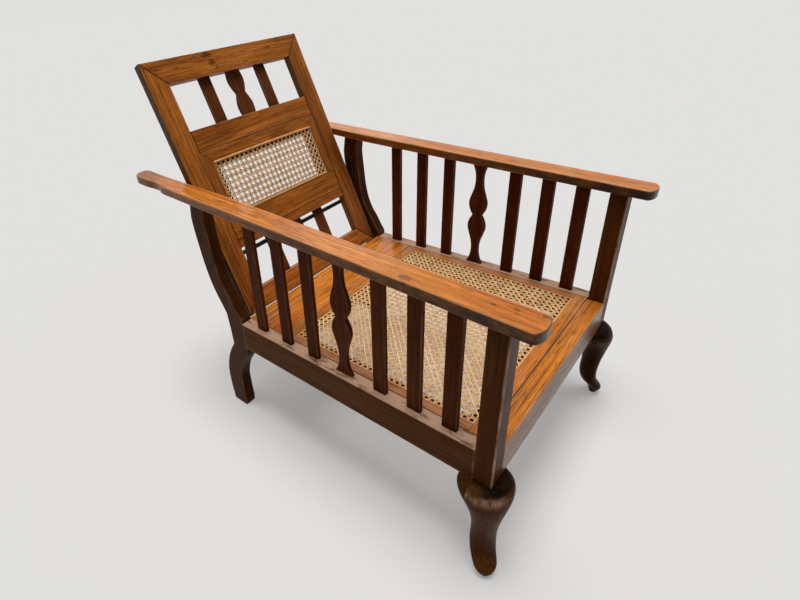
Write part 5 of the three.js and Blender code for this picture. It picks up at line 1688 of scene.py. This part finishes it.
def screw_head(side, y, z, turn):
    """A domed, slotted head: on a disc of radius R its height is that of a shallow dome, less the
    slot's depth within the slot's half width."""
    r = np.concatenate([[1.0], np.linspace(1, 0.02, 13)])[:, None] * SCREW_RADIUS
    angle = np.arange(48)[None] * 2 * math.pi / 48
    a, b = r * np.cos(angle), r * np.sin(angle)
    height = SCREW_RISE * np.sqrt(np.maximum(1 - (r / SCREW_RADIUS) ** 2, 0)) * 0.75 + 0.25
    height = np.broadcast_to(height, a.shape).copy()
    height[0] = 0
    slot = np.abs(-a * math.sin(turn) + b * math.cos(turn)) < SLOT_HALF
    height = np.where(slot & (r < SCREW_RADIUS * 0.995), height - SLOT_DEPTH, height)
    face = REAR_LEG_INNER - PLATE_THICKNESS
    rings = np.stack([side * (face - height), y + a, z + b], -1)
    return ringed(rings, grain=np.stack([a, b, height], -1).reshape(-1, 3) * 0.001)


class CHAIR_OT_ironwork(ChairStep, bpy.types.Operator):
    """Makes the hook plates with their screws, the pivot pins and the loose rod"""

    bl_idname = "planters_chair.ironwork"
    bl_label = "Ironwork"

    def execute(self, context):
        edge = self.edge("iron")
        for name, side in SIDES:
            faces = sorted([side * (REAR_LEG_INNER - PLATE_THICKNESS), side * REAR_LEG_INNER])
            plate = sawn(hook_outline(), *faces, across, "v", edge, 0.9, fade=0.6)
            plate.normals = None
            heads = []
            for index, above in enumerate(SCREW_HEIGHTS):
                height = ROD_Z + above
                middle = spine_front(height) + SPINE_WIDTH / 2
                heads.append(screw_head(side, middle, height, 0.5 + index * SCREW_TURN))
            add_piece(
                f"{name}_hook_plate", [plate, *heads], "frame", [f"hook_plate_{name}"],
                "black_iron", 38)
            ends = sorted([side * (BACK_HALF - PIN_IN_STILE), side * (REAR_LEG_INNER + PIN_IN_LEG)])
            pin = sawn(circle(PIVOT_Y, PIVOT_Z, PIN_RADIUS), *ends, across, "w", 0.5, fade=0.5)
            add_piece(f"{name}_pivot_pin", pin, "frame", [f"pivot_pin_{name}"], "black_iron")
        rod = sawn(
            circle(ROD_Y, ROD_Z, ROD_RADIUS, 48), -ROD_HALF, ROD_HALF, across, "w", 0.9, fade=1)
        add_piece("loose_rod", rod, "rod", ["support_rod"], "black_iron")
        return {"FINISHED"}


# ---------------------------------------------------------------- the stage


FLOOR_HALF = 40
PAPER_SHARE = 0.62
ROOM_LIGHT = (0.1, 0.1, 0.105)
SUN_ENERGY, SUN_ANGLE, SUN_TURN = 2.86, 28, (-3, -1, 0)
WINDOW_ENERGY, WINDOW_SIZE = 8, (1.8, 1.2)
WINDOW_PLACE, WINDOW_TURN = (2.0, 2.2, 2.0), (56, 0, 137)
CAMERA_PLACE = (-0.917768, -0.697325, 1.049883)
CAMERA_YAW, CAMERA_PITCH, CAMERA_ROLL = 43.938, -28.786, -6.093
CAMERA_SENSOR, CAMERA_LENS = 36, 22.8347
CAMERA_SHIFT_X, CAMERA_SHIFT_Y = 0.1210, -0.0497


def seen_directly(f):
    """1 for rays from the camera, off gloss or through glass, and 0 for the light on things."""
    rays = f.add("LightPath")
    seen = f.math("MAXIMUM", rays.outputs["Is Camera Ray"], rays.outputs["Is Glossy Ray"])
    return f.math("MAXIMUM", seen, rays.outputs["Is Transmission Ray"])


def add_to_scene(name, data, turn=(0, 0, 0)):
    """An object on its data, turned by angles in degrees."""
    made = bpy.data.objects.new(name, data)
    made.rotation_euler = [math.radians(angle) for angle in turn]
    bpy.context.scene.collection.objects.link(made)
    return made


def make_floor(backdrop):
    """A pale floor: one share of its colour is paper that takes light and shadow, and the rest
    is its own where it is seen directly."""
    mesh = bpy.data.meshes.new("studio_floor")
    corners = [(x, y, 0) for x, y in rectangle(-FLOOR_HALF, FLOOR_HALF, -FLOOR_HALF, FLOOR_HALF)]
    mesh.from_pydata(corners, [], [(0, 1, 2, 3)])
    floor = add_to_scene("studio_floor", mesh)
    f = Finish("studio_floor")
    light = f.add("Emission", {
        "Color": (*backdrop, 1), "Strength": f.math("MULTIPLY", seen_directly(f), 1 - PAPER_SHARE)})
    paper = f.add("BsdfDiffuse", {"Color": (*scaled(backdrop, PAPER_SHARE), 1)})
    joined = f.add("AddShader", {0: light.outputs[0], 1: paper.outputs[0]})
    f.add("OutputMaterial", {0: joined.outputs[0]})
    mesh.materials.append(f.owner)


def make_world(backdrop):
    """The backdrop's colour where it is seen directly, and a dim room's light on the chair."""
    w = Finish("studio", "worlds")
    bpy.context.scene.world = w.owner
    shown = w.mix(seen_directly(w), ROOM_LIGHT, backdrop)
    sky = w.add("Background", {"Color": shown, "Strength": 1.0})
    w.add("OutputWorld", {0: sky.outputs[0]})


def make_lights():
    """A broad sun overhead, and a window behind the chair whose gleam its gloss picks up."""
    sun = bpy.data.lights.new("overhead_light", "SUN")
    sun.energy, sun.angle = SUN_ENERGY, math.radians(SUN_ANGLE)
    add_to_scene("overhead_light", sun, SUN_TURN)
    window = bpy.data.lights.new("window_light", "AREA")
    window.shape, window.energy = "RECTANGLE", WINDOW_ENERGY
    window.size, window.size_y = WINDOW_SIZE
    window_object = add_to_scene("window_light", window, WINDOW_TURN)
    window_object.location = WINDOW_PLACE
    window_object.visible_diffuse = False


def make_camera():
    """The photograph's camera, turned by its yaw and pitch, then rolled about its own axis."""
    yaw, pitch, roll = (math.radians(angle) for angle in (CAMERA_YAW, CAMERA_PITCH, CAMERA_ROLL))
    level = math.cos(pitch)
    ahead = np.array([math.sin(yaw) * level, math.cos(yaw) * level, math.sin(pitch)])
    right = np.array([math.cos(yaw), -math.sin(yaw), 0.0])
    above = np.cross(right, ahead)
    rolled_right = math.cos(roll) * right + math.sin(roll) * above
    rolled_up = -math.sin(roll) * right + math.cos(roll) * above
    camera = bpy.data.cameras.new("camera")
    camera.sensor_width, camera.lens = CAMERA_SENSOR, CAMERA_LENS
    camera.shift_x, camera.shift_y = CAMERA_SHIFT_X, CAMERA_SHIFT_Y
    camera.clip_start = 0.01
    place = np.eye(4)
    place[:3, :3] = np.column_stack([rolled_right, rolled_up, -ahead])
    place[:3, 3] = CAMERA_PLACE
    camera_object = add_to_scene("camera", camera)
    camera_object.matrix_world = Matrix(place.tolist())
    bpy.context.scene.camera = camera_object


class CHAIR_OT_stage(ChairStep, bpy.types.Operator):
    """Sets up the floor, the light and the camera"""

    bl_idname = "planters_chair.stage"
    bl_label = "Stage"

    def execute(self, context):
        context.scene.view_settings.view_transform = "Standard"
        backdrop = tuple(context.scene.chair_colours.backdrop)
        make_floor(backdrop)
        make_world(backdrop)
        make_lights()
        make_camera()
        return {"FINISHED"}


STEPS = (
    CHAIR_OT_stage, CHAIR_OT_front_legs, CHAIR_OT_rear_legs, CHAIR_OT_rails, CHAIR_OT_arms,
    CHAIR_OT_side_slats, CHAIR_OT_seat_frame, CHAIR_OT_seat_cane, CHAIR_OT_back_frame,
    CHAIR_OT_back_cane, CHAIR_OT_back_slats, CHAIR_OT_ironwork,
)


class CHAIR_PT_steps(bpy.types.Panel):
    """Lists the chair's sizes, colours and steps in the sidebar"""

    bl_idname = "CHAIR_PT_steps"
    bl_label = "Planters Chair"
    bl_space_type = "VIEW_3D"
    bl_region_type = "UI"
    bl_category = "Planters Chair"

    def draw(self, context):
        for group in (context.scene.chair_sizes, context.scene.chair_colours):
            box = self.layout.box()
            for name in group.bl_rna.properties.keys():
                if name not in ("rna_type", "name"):
                    box.prop(group, name)
        for step in STEPS:
            self.layout.operator(step.bl_idname)


CLASSES = (ChairSizes, ChairColours, *STEPS, CHAIR_PT_steps)


def register():
    """Adds the chair's classes and properties."""
    for item in CLASSES:
        bpy.utils.register_class(item)
    bpy.types.Scene.chair_sizes = PointerProperty(type=ChairSizes)
    bpy.types.Scene.chair_colours = PointerProperty(type=ChairColours)


def unregister():
    """Takes them away again."""
    del bpy.types.Scene.chair_colours
    del bpy.types.Scene.chair_sizes
    for item in reversed(CLASSES):
        bpy.utils.unregister_class(item)


def main():
    """Builds the chair step by step."""
    register()
    steps = bpy.ops.planters_chair
    for step in STEPS:
        getattr(steps, step.bl_idname.split(".")[1])()


if __name__ == "__main__":
    main()
